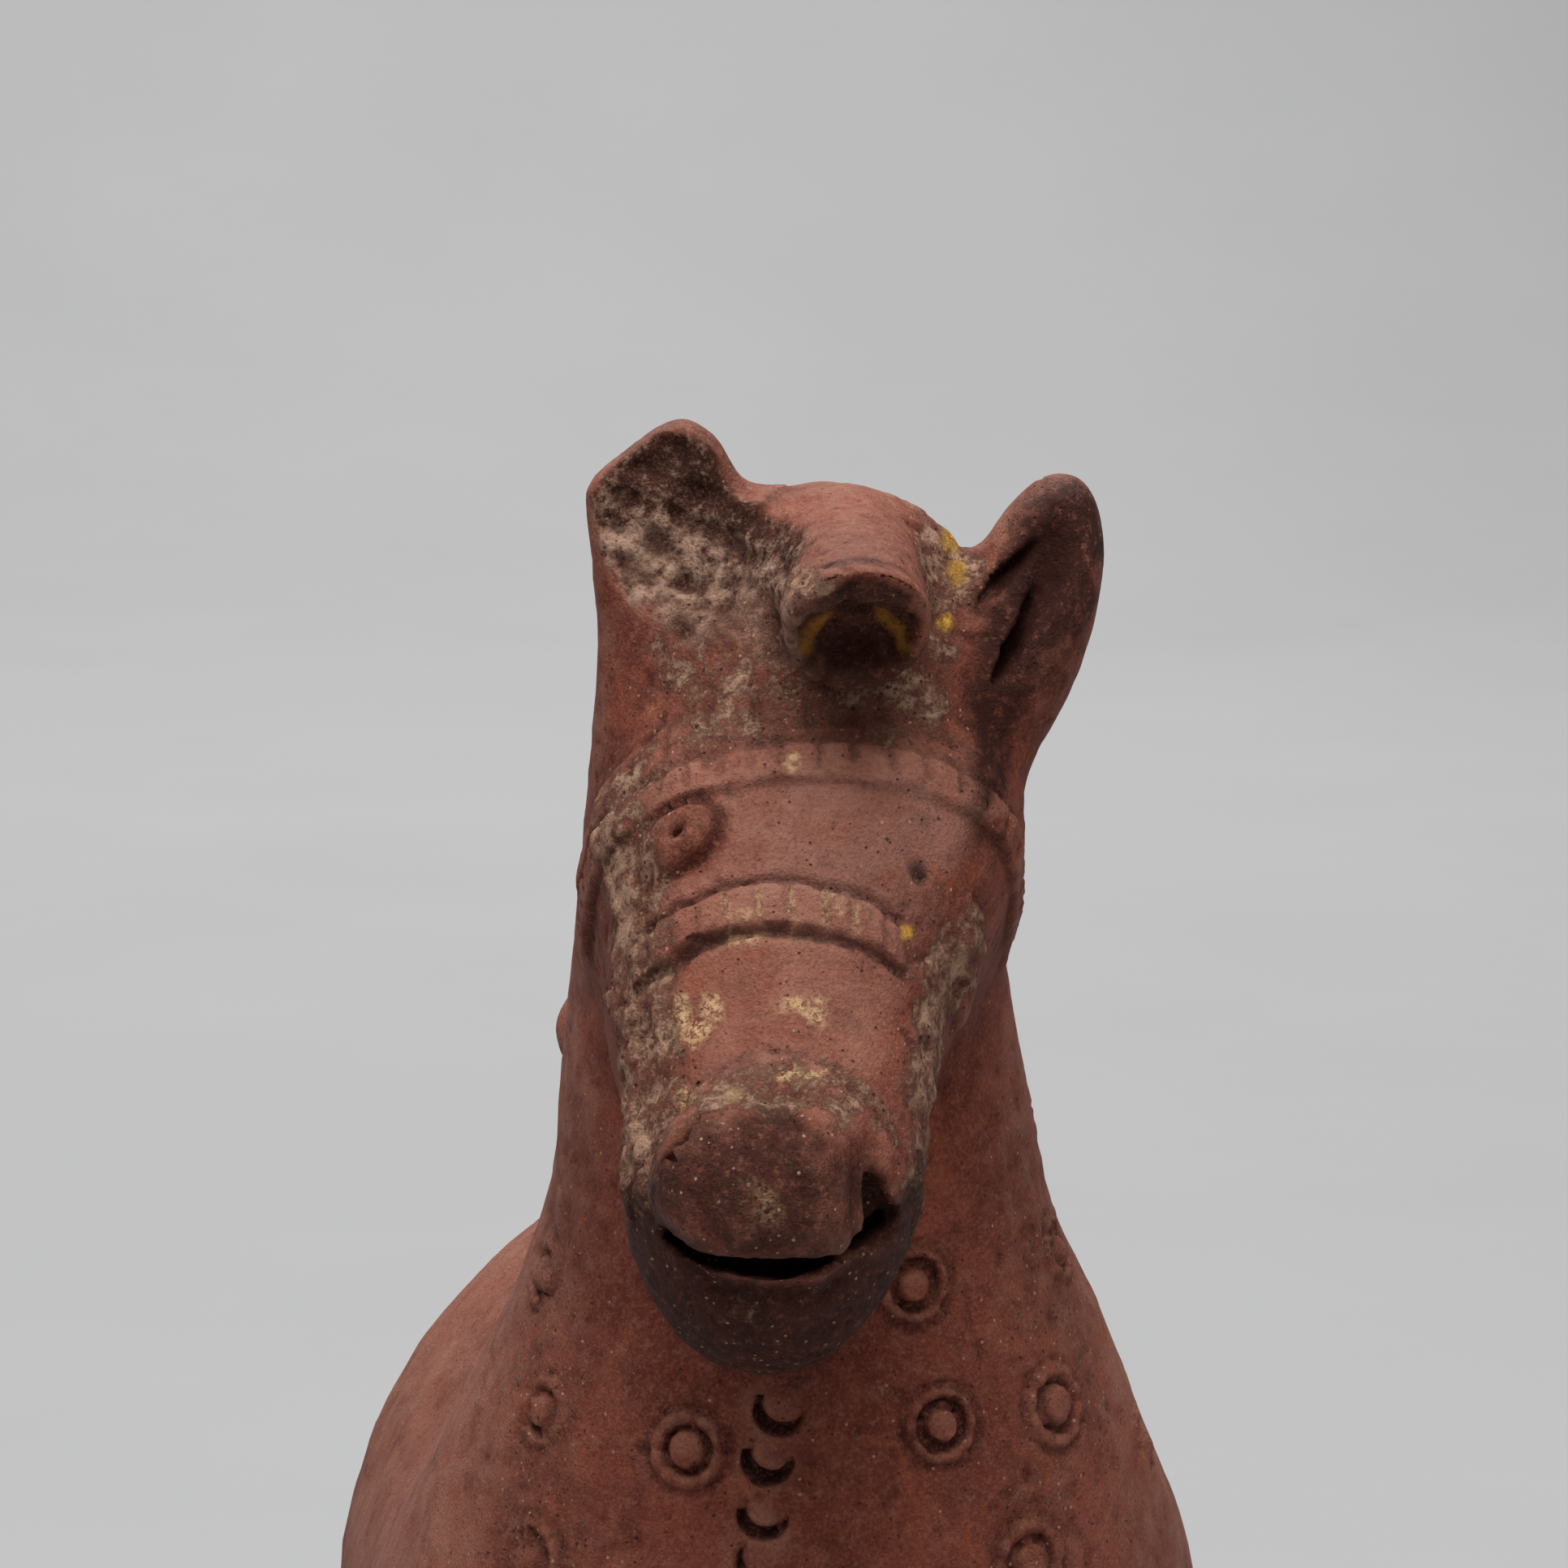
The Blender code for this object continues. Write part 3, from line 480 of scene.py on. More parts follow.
def skin(xs, ys, zs, field):
    """Closed skin of quads round the points where the field is less than 0."""
    f = np.empty((len(xs), len(ys), len(zs)), np.float32)
    for k in range(0, len(xs), 12):
        g = np.meshgrid(xs[k : k + 12], ys, zs, indexing="ij")
        p = np.stack([a.ravel() for a in g], 1)
        f[k : k + 12] = field(p).reshape(g[0].shape)
    inside = f < 0.0
    settle(inside, f)
    total = np.zeros([n - 1 for n in f.shape], np.int8)
    corners = [(i, j, k) for i in (0, 1) for j in (0, 1) for k in (0, 1)]
    nx, ny, nz = total.shape
    for i, j, k in corners:
        total += inside[i : i + nx, j : j + ny, k : k + nz]
    cells = np.argwhere((total > 0) & (total < 8))
    ids = np.full(total.shape, -1, np.int64)
    ids[tuple(cells.T)] = np.arange(len(cells))
    lines = (xs, ys, zs)
    place = np.zeros((len(cells), 3))
    count = np.zeros(len(cells))
    for a in corners:
        for axis in range(3):
            if a[axis]:
                continue
            b = list(a)
            b[axis] = 1
            ca = cells + np.array(a)
            cb = cells + np.array(b)
            fa = f[tuple(ca.T)].astype(float)
            fb = f[tuple(cb.T)].astype(float)
            cross = (fa < 0) != (fb < 0)
            t = np.where(cross, fa / np.where(cross, fa - fb, 1.0), 0.0)
            pa = np.stack([lines[n][ca[:, n]] for n in range(3)], 1)
            pb = np.stack([lines[n][cb[:, n]] for n in range(3)], 1)
            place += np.where(cross[:, None], pa + t[:, None] * (pb - pa), 0.0)
            count += cross
    place /= count[:, None]
    quads = []
    for axis in range(3):
        o1, o2 = [n for n in range(3) if n != axis]
        lo = [slice(None)] * 3
        hi = [slice(None)] * 3
        lo[axis] = slice(0, -1)
        hi[axis] = slice(1, None)
        change = inside[tuple(lo)] != inside[tuple(hi)]
        at = np.argwhere(change)
        keep = (at[:, o1] > 0) & (at[:, o2] > 0)
        at = at[keep]
        out = inside[tuple(lo)][tuple(at.T)]
        ring = []
        for d1, d2 in ((0, 0), (1, 0), (1, 1), (0, 1)):
            c = at.copy()
            c[:, o1] -= 1 - d1
            c[:, o2] -= 1 - d2
            ring.append(ids[tuple(c.T)])
        q = np.stack(ring, 1)
        flip = out if axis != 1 else ~out
        q[~flip] = q[~flip][:, ::-1]
        quads.append(q)
    return place, np.concatenate(quads)


def press(points, field, rounds):
    """Moves points onto the surface where the field is 0."""
    eps = 0.05
    for _ in range(rounds):
        value = field(points)
        grad = np.stack([field(points + eps * e) - value for e in np.eye(3)], 1) / eps
        size = np.maximum((grad**2).sum(1), 0.2)
        move = grad * (value / size)[:, None]
        far = np.sqrt((move**2).sum(1))
        points = points - move * np.minimum(1.0, 0.8 / np.maximum(far, 1e-9))[:, None]
    return points


# Middle of the eye pellet, across the face and down it.
EYE_ACROSS, EYE_DOWN = -11.2, -2.3
# Turn between two notches of a band, and between two beads of the brow, in degrees round the head.
NOTCH_TURN, BEAD_TURN = 8.5, 13.0


def grain(p, size, seed):
    """Soft random heights from -1 to 1 in cells of one size, blended between random values at the corners."""
    q = np.asarray(p, float) / size + 0.37 * seed
    base = np.floor(q).astype(np.int64)
    t = q - base
    t = t * t * (3.0 - 2.0 * t)
    total = np.zeros(len(q))
    for i in (0, 1):
        for j in (0, 1):
            for k in (0, 1):
                c = base + np.array([i, j, k])
                h = (c[:, 0] * 73856093) ^ (c[:, 1] * 19349663) ^ (c[:, 2] * 83492791) ^ (seed * 2654435761)
                h &= 0xFFFFFFFF
                h = ((h ^ (h >> 15)) * 2246822519) & 0xFFFFFFFF
                h = ((h ^ (h >> 13)) * 3266489917) & 0xFFFFFFFF
                h ^= h >> 16
                value = (h & 0xFFFFF) / 524287.5 - 1.0
                corner_share = np.where((i, j, k), t, 1.0 - t)
                total += value * (corner_share[:, 0] * corner_share[:, 1] * corner_share[:, 2])
    return total


def rough(p, size, seed, layers):
    """Grain in several sizes, each half the size and half the height of the one before."""
    total = np.zeros(len(p))
    height = 1.0
    for n in range(layers):
        total += height * grain(p, size, seed + n)
        size *= 0.5
        height *= 0.5
    return total


def past_nose_band(u, v):
    """Distance down the face from the middle of the nose band, which sags at the sides."""
    return v - 6.0 - 0.019 * (u + 3.5) ** 2


def past_brow_band(u, v):
    """Distance down the face from the middle of the brow band."""
    return v + 8.6 - 0.006 * u**2


def turn_of_head(u, w):
    """Angle round the length of the head, in degrees from the middle of the face."""
    return np.degrees(np.arctan2(u + 1.0, w + 21.0))


def fracture(p):
    """The spoon-shaped hollow of the broken ear."""
    return lump(p, (-15.0, -101.3, 272.0), np.eye(3), (14.0, 15.8, 15.8))


def ear_bowl(p):
    """The bowl of the whole ear."""
    return lump(p, (24.4, -95.6, 265.6), frame_of((0.50, 0.15, 0.86), EAR_SIDE), (3.4, 7.4, 4.4))


def ear_slot(p, centre, along, radii):
    """A slot that runs along the whole ear."""
    return lump(p, centre, frame_of(along, EAR_SIDE), radii)


# Where the clay is broken, encrusted or painted. Each zone is 1 inside and 0 outside, with an uneven edge.
def zone(distance, edge, p, seed, size=2.4):
    """1 where the distance is less than 0, with an edge this wide, wandering with the grain."""
    return step(distance + 0.9 * edge * rough(p, size, seed, 3), edge, -edge)


def zones(p):
    """The broken faces, the crust of lime and soil, and the cream slip left on the bands and the nose."""
    q = (p - BROW) @ HEAD_AXES.T
    u, v, w = q.T
    x, y, z = p.T
    front = step(y, -80.0, -84.0)
    broken = zone(fracture(p) - 0.9, 0.55, p, 11, 1.8) * step(y, -74.0, -78.0)
    beside = np.hypot((x + 4.4) / 3.8, (z - 260.6) / 4.6) - 1.0
    broken = np.maximum(broken, 0.75 * zone(3.0 * beside, 0.9, p, 12) * front)
    tuft = (p - TUFT_END) @ TUFT_OUT
    r = 0.5 * parts(FORELOCK_WIDTH)
    across = (p - TUFT_END) @ TUFT_DOWN
    near = np.hypot((x - TUFT_END[0]) / (0.86 * r), across / (1.0 * r)) - 1.0
    end = zone(6.0 * near, 0.9, p, 13, 1.6) * step(tuft, -4.4, -2.9) * step(tuft, 2.0, 1.0)
    on_tuft = step(forelock(p), 1.2, -0.2) * step(y, -95.0, -99.0)
    # crust: beside the muzzle at +X, under the tuft, on the cheek at -X, above the lip, thinly on the neck
    side = np.maximum(np.abs(v - 18.0) - 15.0, np.abs(w + 10.5 + 0.10 * (v - 15.0)) - 5.5)
    crust = 0.66 * zone(side, 2.2, p, 21) * step(u, 5.5, 9.5)
    under = np.maximum(np.abs(v + 19.0) - 8.5, np.abs(u - 2.0) - 15.0)
    crust = np.maximum(crust, 0.52 * zone(under, 2.6, p, 22) * step(w, -14.0, -8.0) * (1.0 - on_tuft))
    cheek = np.maximum(np.abs(v - 10.0) - 25.0, np.abs(w + 9.0) - 5.5)
    crust = np.maximum(crust, 0.66 * zone(cheek, 2.6, p, 23) * step(u, -9.5, -13.0))
    ridge = np.hypot((u + 3.5) / 12.0, (v - 25.5) / 4.0) - 1.0
    crust = np.maximum(crust, 0.60 * zone(3.0 * ridge, 1.4, p, 24, 1.7) * step(w, -9.0, -6.0))
    lips = np.hypot((u + 6.0) / 13.0, (v - 35.0) / 8.0) - 1.0
    crust = np.maximum(crust, 0.36 * zone(3.0 * lips, 1.4, p, 27, 1.7) * step(y, -120.0, -126.0))
    chin = np.hypot((u + 4.0) / 15.0, (w + 19.0) / 12.0) - 1.0
    crust = np.maximum(crust, 0.42 * zone(3.0 * chin, 1.4, p, 28, 1.7) * step(v, 24.0, 29.0))
    sides = zone(np.abs(np.abs(x) - 25.0) - 6.0, 4.0, p, 25, 6.0)
    sides = sides * step(z, 215.0, 205.0) * step(y, -66.0, -72.0)
    crust = np.maximum(crust, 0.34 * sides)
    bowl = np.hypot((x - 13.5) / 4.5, (z - 263.5) / 6.0) - 1.0
    crust = np.maximum(crust, 0.62 * zone(3.0 * bowl, 1.2, p, 26) * front * (1.0 - on_tuft))
    rim = np.hypot((x + 1.4) / 2.0, (z - 265.0) / 1.3) - 1.0
    crust = np.maximum(crust, 0.8 * zone(2.0 * rim, 0.6, p, 29, 1.2) * step(y, -106.0, -110.0))
    # cream: two patches on the nose, the notches of the bands, the edge below the nose band
    cream = np.zeros(len(p))
    for uc, vc, ru, rv, seed in (
        (-11.4, 15.4, 0.75, 1.9, 31),
        (-10.2, 17.4, 0.85, 1.5, 32),
        (-8.9, 15.6, 0.9, 1.3, 33),
        (-0.2, 15.6, 1.7, 0.75, 34),
        (0.8, 16.8, 1.0, 0.8, 35),
        (-7.4, 25.6, 1.0, 0.8, 36),
        (-1.2, 23.4, 1.6, 0.7, 37),
        (-11.6, 24.2, 0.7, 1.4, 38),
        (-5.2, 37.4, 1.2, 1.4, 39),
    ):
        spot = np.hypot((u - uc) / ru, (v - vc) / rv) - 1.0 + 0.22 * rough(p, 1.3, seed + 100, 2)
        level = 0.30 if seed == 39 else 1.0
        cream = np.maximum(cream, level * zone(spot, 0.70, p, seed, 0.9))
    cream *= step(w, -9.0, -7.0)
    from_nose = past_nose_band(u, v)
    line = zone(np.abs(from_nose - 2.75) - 0.16, 0.5, p, 41, 1.6) * step(np.abs(u + 3.4), 5.0, 2.2)
    round_head = turn_of_head(u, w)
    gaps = bump((round_head / NOTCH_TURN + 0.5) % 1.0 - 0.5, 0.36)
    patches = step(grain(p, 1.5, 43), 0.35, 0.7)
    notch = zone(np.abs(from_nose) - 1.7, 0.6, p, 42, 1.2) * np.maximum(gaps, patches)
    notch *= step(np.abs(u + 1.0), 8.5, 5.5)
    cream = np.maximum(cream, (0.9 * line + 0.65 * notch) * step(w, -9.0, -7.0))
    from_brow = past_brow_band(u, v)
    drop = np.hypot((u + 0.2) / 0.7, (from_brow - 0.2) / 1.1) - 1.0
    cream = np.maximum(cream, zone(drop, 0.4, p, 44, 1.0) * step(w, -9.0, -7.0))
    # yellow ochre: specks between the tuft and the whole ear, and inside the broken end
    ochre = np.zeros(len(p))
    for xc, zc, r, seed in (
        (15.0, 266.3, 1.1, 51),
        (15.2, 263.6, 0.9, 52),
        (13.4, 259.0, 0.8, 53),
        (8.0, 231.6, 0.5, 54),
    ):
        ochre = np.maximum(ochre, zone(np.hypot(x - xc, z - zc) - r, 0.35, p, seed, 0.9) * front)
    beside_middle = np.abs(x - TUFT_END[0])
    bow = np.abs(np.hypot(beside_middle, (z - 258.4) * 1.15) - 4.6) - 0.6
    bows = zone(bow, 0.45, p, 55, 1.0) * step(beside_middle, 1.6, 2.6) * step(z, 257.6, 258.8)
    ochre = np.maximum(ochre, 0.8 * end * bows)
    return broken, end, crust, cream, ochre


def carve(p, d, fine):
    """The cuts and the raised bands. Where fine is true they have ragged edges, petals, grain and pits."""
    q = (p - BROW) @ HEAD_AXES.T
    u, v, w = q.T
    skin_d = d.copy()
    wobble = 0.0
    if fine:
        wobble = 0.42 * rough(p, 2.4, 5, 3)
    d = smin(d, forelock(p), 2.5)

    waves = 0.9 * np.sin(0.9 * p[:, 0] + 1.3) * np.sin(0.75 * p[:, 2])
    waves += 0.5 * np.sin(1.9 * p[:, 2] + 0.8 * p[:, 0])
    d = smax(d, -(fracture(p) + 0.35 * waves + wobble), 0.4 if fine else 0.8)

    upper = ear_slot(p, (20.4, -94.2, 263.2), (0.68, 0.10, 0.73), (1.0, 5.4, 4.8)) + 0.7 * wobble
    lower = ear_slot(p, (21.3, -95.2, 258.4), (0.49, 0.10, 0.87), (0.95, 6.6, 4.4)) + 0.7 * wobble
    d = smax(d, -ear_bowl(p), 1.4)
    d = smax(d, -upper, 0.6)
    d = smax(d, -lower, 0.6)

    gap = 0.5 * parts(MOUTH_GAP) + 0.45 * wobble
    if fine:
        gap = gap + 0.35 * bump(u + 4.5, 9.0) - 0.75 * bump(u - 2.4, 3.6) - 0.35 * step(u, -9.0, -14.0)
    deep = parts(MOUTH_DEPTH)
    lips = 0.866 * v - 0.5 * w - curve(u, LIP_LINE[:, 0], LIP_LINE[:, 1])
    climb = curve(u + 0.5, LIP_LINE[:, 0], LIP_LINE[:, 1]) - curve(u - 0.5, LIP_LINE[:, 0], LIP_LINE[:, 1])
    lips = lips / np.sqrt(1.0 + climb**2)
    ends = np.abs(u + 3.4) - 10.2
    front = np.maximum(np.maximum(30.0 - v, -15.0 - w), ends)
    cut = np.maximum(np.maximum(np.abs(lips) - gap, front), -skin_d - deep)
    d = smax(d, -cut, 0.7)

    slit = rod(q, (-13.4, 31.6, -2.2), (-10.9, 28.8, -1.4), 1.05, 0.55)
    if fine:
        slit = rod(q, (-13.4, 32.0, -3.2), (-12.2, 30.6, -2.4), 1.40, 1.05)
        slit = np.minimum(slit, rod(q, (-12.2, 30.6, -2.2), (-10.2, 28.2, -1.5), 0.90, 0.50))
    d = smax(d, -slit, 0.6)
    hole = rod(q, (4.9, 32.4, -6.2), (6.5, 34.8, -10.2), 1.3, 2.3)
    d = smax(d, -hole, 0.6)

    ring = parts(BAND_WIDTH)
    high = parts(BAND_RELIEF)
    on_head = step(p[:, 1], -78.0, -84.0) * step(w, -36.0, -30.0)
    round_head = turn_of_head(u, w) + 2.2 * wobble
    notches = bump((round_head / NOTCH_TURN + 0.5) % 1.0 - 0.5, 0.34)
    from_nose = past_nose_band(u, v) + wobble
    nose = step(np.abs(from_nose), 0.62 * ring, 0.42 * ring) * (1.0 - 0.7 * notches)
    nose -= 1.1 * (bump(from_nose - 0.66 * ring, 1.7) + bump(from_nose + 0.66 * ring, 1.7))
    nose *= step(u, -17.5, -15.0) * step(u, 10.5, 8.5) * step(w, -11.0, -8.5)
    from_brow = past_brow_band(u, v) + 0.8 * wobble
    brow = step(np.abs(from_brow), 0.60 * ring, 0.38 * ring)
    brow *= 1.0 - 0.8 * notches * step(from_brow, 0.35 * ring, 0.0)
    gaps = bump((round_head / BEAD_TURN) % 1.0 - 0.5, 0.24)
    beads = step(np.abs(from_brow + 5.3), 0.72 * ring, 0.50 * ring) * (1.0 - 0.9 * gaps)
    if fine:
        beads *= 0.35 + 0.65 * step(u, 6.0, 1.0)
        beads *= 0.6 + 0.4 * grain(p, 5.0, 80)
        brow *= 0.75 + 0.35 * grain(p, 4.0, 81)
    band = 0.8 * nose + brow + 0.75 * beads
    slant = bump(((v + 0.9 * w) / 3.6) % 1.0 - 0.5, 0.34)
    strap = step(np.abs(w + 12.0), 3.0, 2.0) * step(u, -8.0, -11.0) * step(v, 7.0, 9.0) * step(v, 34.0, 31.0)
    band += 0.8 * strap * (1.0 - 0.8 * slant)
    along = (v - 6.5) * 0.535 - (w + 12.7) * 0.845
    aside = (v - 6.5) * 0.845 + (w + 12.7) * 0.535
    band += 1.1 * step(np.hypot(along / 7.6, aside / 2.6), 1.1, 0.8) * step(u, 8.0, 11.0)
    d = d - high * band * on_head

    a = (u - EYE_ACROSS) * 0.85 - (v - EYE_DOWN) * 0.52
    b = (u - EYE_ACROSS) * 0.52 + (v - EYE_DOWN) * 0.85
    size = 0.5 * parts(EYE_WIDTH)
    pellet = np.sqrt((a / size) ** 2 + (b / (0.82 * size)) ** 2)
    front = step(w, -16.0, -12.0)
    d = d - parts(EYE_RELIEF) * step(pellet, 1.12, 0.62) * front
    d = d + parts(EYE_RELIEF) * 0.8 * bump(np.sqrt((a / 1.2) ** 2 + (b / 0.7) ** 2), 2.2) * front
    right = np.hypot(u - 11.4, v - 1.6)
    d = d + parts(EYE_RELIEF) * (0.9 * bump(right, 2.6) + 0.25 * bump(right, 7.5)) * front
    if fine:
        d = d + 0.35 * bump(pellet - 0.62, 0.30) * front
        d = d + 0.30 * bump(pellet - 1.18, 0.34) * front
        ledge = v - 20.8 - 0.062 * (u + 3.5) ** 2 + 1.5 * wobble
        over = step(w, -11.0, -8.0) * step(np.abs(u + 3.0), 12.5, 10.0)
        d = d - (0.55 * step(ledge, -0.2, 0.5) * step(ledge, 9.0, 4.0) - 0.40 * bump(ledge + 0.3, 1.1)) * over
        x, y, z = p.T
        crease = z - curve(x, (-8.0, -3.0, 3.0, 9.0, 15.0), (266.0, 270.4, 272.4, 271.2, 267.4)) + wobble
        behind = step(y, -82.0, -85.0) * step(y, -100.0, -96.0) * step(np.abs(x - 2.0), 10.0, 6.0)
        d = d + 0.45 * bump(crease, 1.6) * behind
    return stamps(p, d, fine)


def stamps(p, d, fine):
    """Roundels and crescents. Over the radius r: boss to 0.4, ring cut at 0.6, rim at 0.84, with petals."""
    high = parts(ROUNDEL_RELIEF)
    full = parts(ROUNDEL_WIDTH)
    for n, (centre, facing, share) in enumerate(ROUNDELS):
        near = ((p - centre) ** 2).sum(1) < (1.2 * full) ** 2
        if not near.any():
            continue
        side = np.cross(np.array([0.0, 0.0, 1.0]), facing)
        side /= np.linalg.norm(side)
        up = np.cross(facing, side)
        rel = p[near] - centre
        a, b = rel @ side, rel @ up
        r = np.hypot(a, b) / (0.5 * full * share)
        angle = np.arctan2(b, a) + n
        height = step(r, 0.50, 0.36) - 0.75 * bump(r - 0.58, 0.26) + 0.7 * bump(r - 0.84, 0.36)
        if fine:
            petals = 0.62 + 0.38 * np.cos(10.0 * angle)
            height = step(r, 0.46, 0.34) + 0.2 * bump(r, 0.6) - 1.25 * bump(r - 0.54, 0.27)
            height += 1.15 * bump(r - 0.80, 0.36) * petals - 0.6 * bump(r - 1.04, 0.24)
            height *= 0.80 + 0.25 * grain(p[near], 3.0, 90 + n)
        d[near] -= high * height * step(np.abs(rel @ facing), 5.0, 3.0)
    for centre, facing in CRESCENTS:
        rel = p - centre
        near = (rel**2).sum(1) < full**2
        if near.any():
            a, b = rel[near, 0], rel[near, 2]
            moon = step(np.hypot(a, b), 2.6, 2.2) * step(np.hypot(a - 0.4, b - 0.9), 1.9, 2.3)
            d[near] += 1.3 * high * moon
    return d


def horse(p):
    """The figure as first shaped: less than 0 inside. Cuts are worked out only near the skin."""
    d = clay(p)
    near = np.abs(d) < 9.0
    d[near] = carve(p[near], d[near], False)
    tuft = (np.abs(p[:, 0] - 3.0) < 12.0) & (p[:, 1] < -88.0) & (p[:, 2] > 245.0) & ~near
    d[tuft] = carve(p[tuft], d[tuft], False)
    return np.maximum(d, -p[:, 2])


def carved(p):
    """The figure with its fine carving, before its grain."""
    return np.maximum(carve(p, clay(p), True), -p[:, 2])


def lift(p):
    """How far grain, breaks, crust and pits raise the skin: random heights, each times its zone."""
    broken, end, crust, cream, ochre = zones(p)
    up = -0.20 * rough(p, 9.0, 61, 2) - 0.10 * rough(p, 3.4, 63, 3)
    up -= broken * (0.50 * rough(p, 2.8, 65, 3) + 0.30 * np.maximum(grain(p, 1.5, 68), 0.25))
    up -= end * 0.30 * rough(p, 2.0, 71, 3)
    up += crust * (0.05 + 0.50 * rough(p, 1.7, 73, 3))
    up += 0.08 * np.maximum(cream, ochre)
    up -= 0.26 * step(grain(p, 1.25, 75), 0.60, 0.84) * step(p[:, 1], -40.0, -60.0)
    up -= 0.22 * step(grain(p, 3.1, 77) + 0.3 * grain(p, 1.1, 78), 0.50, 0.62) * (0.35 + crust)
    return up * step(p[:, 2], 0.6, 2.0)


# The skin: a net of quads over the clay, close together on the head and the chest, thinned where it is plain.
FACES = 192000
fine = 0.54
reach = 0.5 * max(parts(BODY_WIDTH), parts(CHEST_WIDTH)) + 6.0
rear = CHEST_FRONT + parts(BODY_LENGTH) + 14.0
xs = spaced(-reach, reach, 1.5, (-25.0, 30.0, fine))
ys = spaced(-150.0, rear, 2.6, (-140.0, -94.0, fine))
zs = spaced(-3.1, 288.0, 3.2, (170.0, 283.0, fine))
points, quads = skin(xs, ys, zs, horse)
points = press(points, carved, 3)
eps = 0.1
slope = np.stack([carved(points + eps * e) - carved(points - eps * e) for e in np.eye(3)], 1)
slope /= np.maximum(np.linalg.norm(slope, axis=1), 1e-9)[:, None]
points = points + slope * lift(points)[:, None]
mesh = bpy.data.meshes.new("horse_clay")
mesh.from_pydata((points * PART).tolist(), [], quads.tolist())
piece = bpy.data.objects.new("horse_clay", mesh)
bpy.context.scene.collection.objects.link(piece)
plain = piece.vertex_groups.new(name="plain")
at_face = step(points[:, 1], -80.0, -90.0) * step(points[:, 2], 140.0, 175.0)
for level in range(1, 6):
    chosen = np.nonzero(np.ceil((1.0 - at_face) * 5.0) == level)[0]
    plain.add(chosen.tolist(), 0.2 * level, "REPLACE")
thin = piece.modifiers.new("thinned", "DECIMATE")
thin.ratio = min(1.0, FACES / (2.0 * len(quads)))
thin.vertex_group = "plain"
thin.vertex_group_factor = 1e-5
thin.use_collapse_triangulate = True
graph = bpy.context.evaluated_depsgraph_get()
clay_mesh = bpy.data.meshes.new_from_object(piece.evaluated_get(graph))
piece.modifiers.clear()
piece.vertex_groups.clear()
piece.data = clay_mesh
bpy.data.meshes.remove(mesh)
clay_mesh.name = "horse_clay"

# Level soles, and the same place over the ground as the solid.
count = len(clay_mesh.vertices)
flat = np.empty(3 * count)
clay_mesh.vertices.foreach_get("co", flat)
points = flat.reshape(-1, 3) / PART
home = np.array([0.0, 10.1097, -0.6])
placed = points + home
placed[:, 2] = np.maximum(placed[:, 2], 0.0)
low, high = np.array(cad_low) / PART, np.array(cad_high) / PART
placed = np.clip(placed, low, high)
clay_mesh.vertices.foreach_set("co", (placed * PART).ravel())
clay_mesh.update()
clay_mesh.shade_smooth()

# Masks kept on the skin for the colour: breaks, crust, cream, ochre, hollows darkened as painted shade, worn
# edges, stains mixed with painted shade, and darker stains mixed with painted shade.
edges = np.empty(2 * len(clay_mesh.edges), np.int64)
clay_mesh.edges.foreach_get("vertices", edges)
edges = edges.reshape(-1, 2)
normal = np.empty(3 * count)
clay_mesh.vertices.foreach_get("normal", normal)
normal = normal.reshape(-1, 3)
ties = np.bincount(edges.ravel(), minlength=count)


def average(values):
    """Mean over the neighbours of each point."""
    total = np.bincount(edges[:, 0], values[edges[:, 1]], count)
    total += np.bincount(edges[:, 1], values[edges[:, 0]], count)
    return total / np.maximum(ties, 1)


def bend(rounds):
    """How far the skin stands out from its own average over a few rings of neighbours."""
    mean = placed.copy()
    for _ in range(rounds):
        mean = np.stack([average(mean[:, n]) for n in range(3)], 1)
    return ((placed - mean) * normal).sum(1)


small, wide = bend(2), bend(14)
# hollow: how far the skin is concave; in the colour it darkens as painted shade, and it also dulls the finish
hollow = step(-(1.5 * small + 0.8 * wide), 0.01, 0.32)
worn = step(1.3 * small + 0.6 * wide, 0.03, 0.26)
for _ in range(2):
    hollow = 0.5 * hollow + 0.5 * average(hollow)
    worn = 0.5 * worn + 0.5 * average(worn)
q = (points - BROW) @ HEAD_AXES.T
masks = dict(zip(("broken", "tuft_end", "crust", "cream", "ochre"), zones(points)))
masks["hollow"] = np.maximum(hollow, 0.0)
masks["worn"] = worn
u, v, w = q.T
x, y, z = points.T
# stains and painted shade: real stains round the eye and on the broken ear's top; stain with painted shade in
# the whole ear and on the lip; painted shade on the front of the jaw; a painted shadow in the shade of the
# tuft
in_bowl = zone(ear_bowl(points) - 1.8, 1.2, points, 81) * step(y, -80.0, -84.0)
below_bowl = (points - np.array([20.8, -94.0, 257.0])) @ np.array([0.87, 0.0, -0.49])
inner_ear = zone(np.abs(below_bowl) - 4.4, 2.2, points, 82) * step(y, -86.0, -90.0) * step(x, 14.0, 17.0)
lip_pad = np.hypot((u + 6.0) / 9.5, (v - 34.5) / 6.5) - 1.0
on_pad = zone(4.0 * lip_pad, 1.8, points, 83, 3.5) * step(w, -12.0, -9.0)
jaw_front = 0.86 * zone(28.5 - v, 2.6, points, 87, 3.0) * step(w, -7.0, -11.0)
jaw_front *= step(w, -38.0, -34.0) * step(y, -104.0, -110.0)
eye = np.hypot((u - EYE_ACROSS) / 4.6, (v - EYE_DOWN) / 4.2) - 1.0
round_eye = zone(4.0 * eye, 0.9, points, 84, 1.5) * step(w, -14.0, -10.0)
stump = np.hypot((x + 12.0) / 8.5, (z - 276.0) / 4.5) - 1.0
shade = np.maximum(np.abs(v + 20.0) - 5.0, np.abs(u - 9.0) - 6.0)
in_shade = zone(shade, 2.4, points, 86, 3.0) * step(w, -16.0, -10.0)
stains_and_shade = (
    (1.0, in_bowl),
    (0.9, inner_ear),
    (0.8, on_pad),
    (1.0, jaw_front),
    (0.5, round_eye),
    (0.6, zone(4.0 * stump, 1.6, points, 85)),
    (0.3, in_shade),
)
masks["stain_and_shade"] = np.max([share * mask for share, mask in stains_and_shade], axis=0)
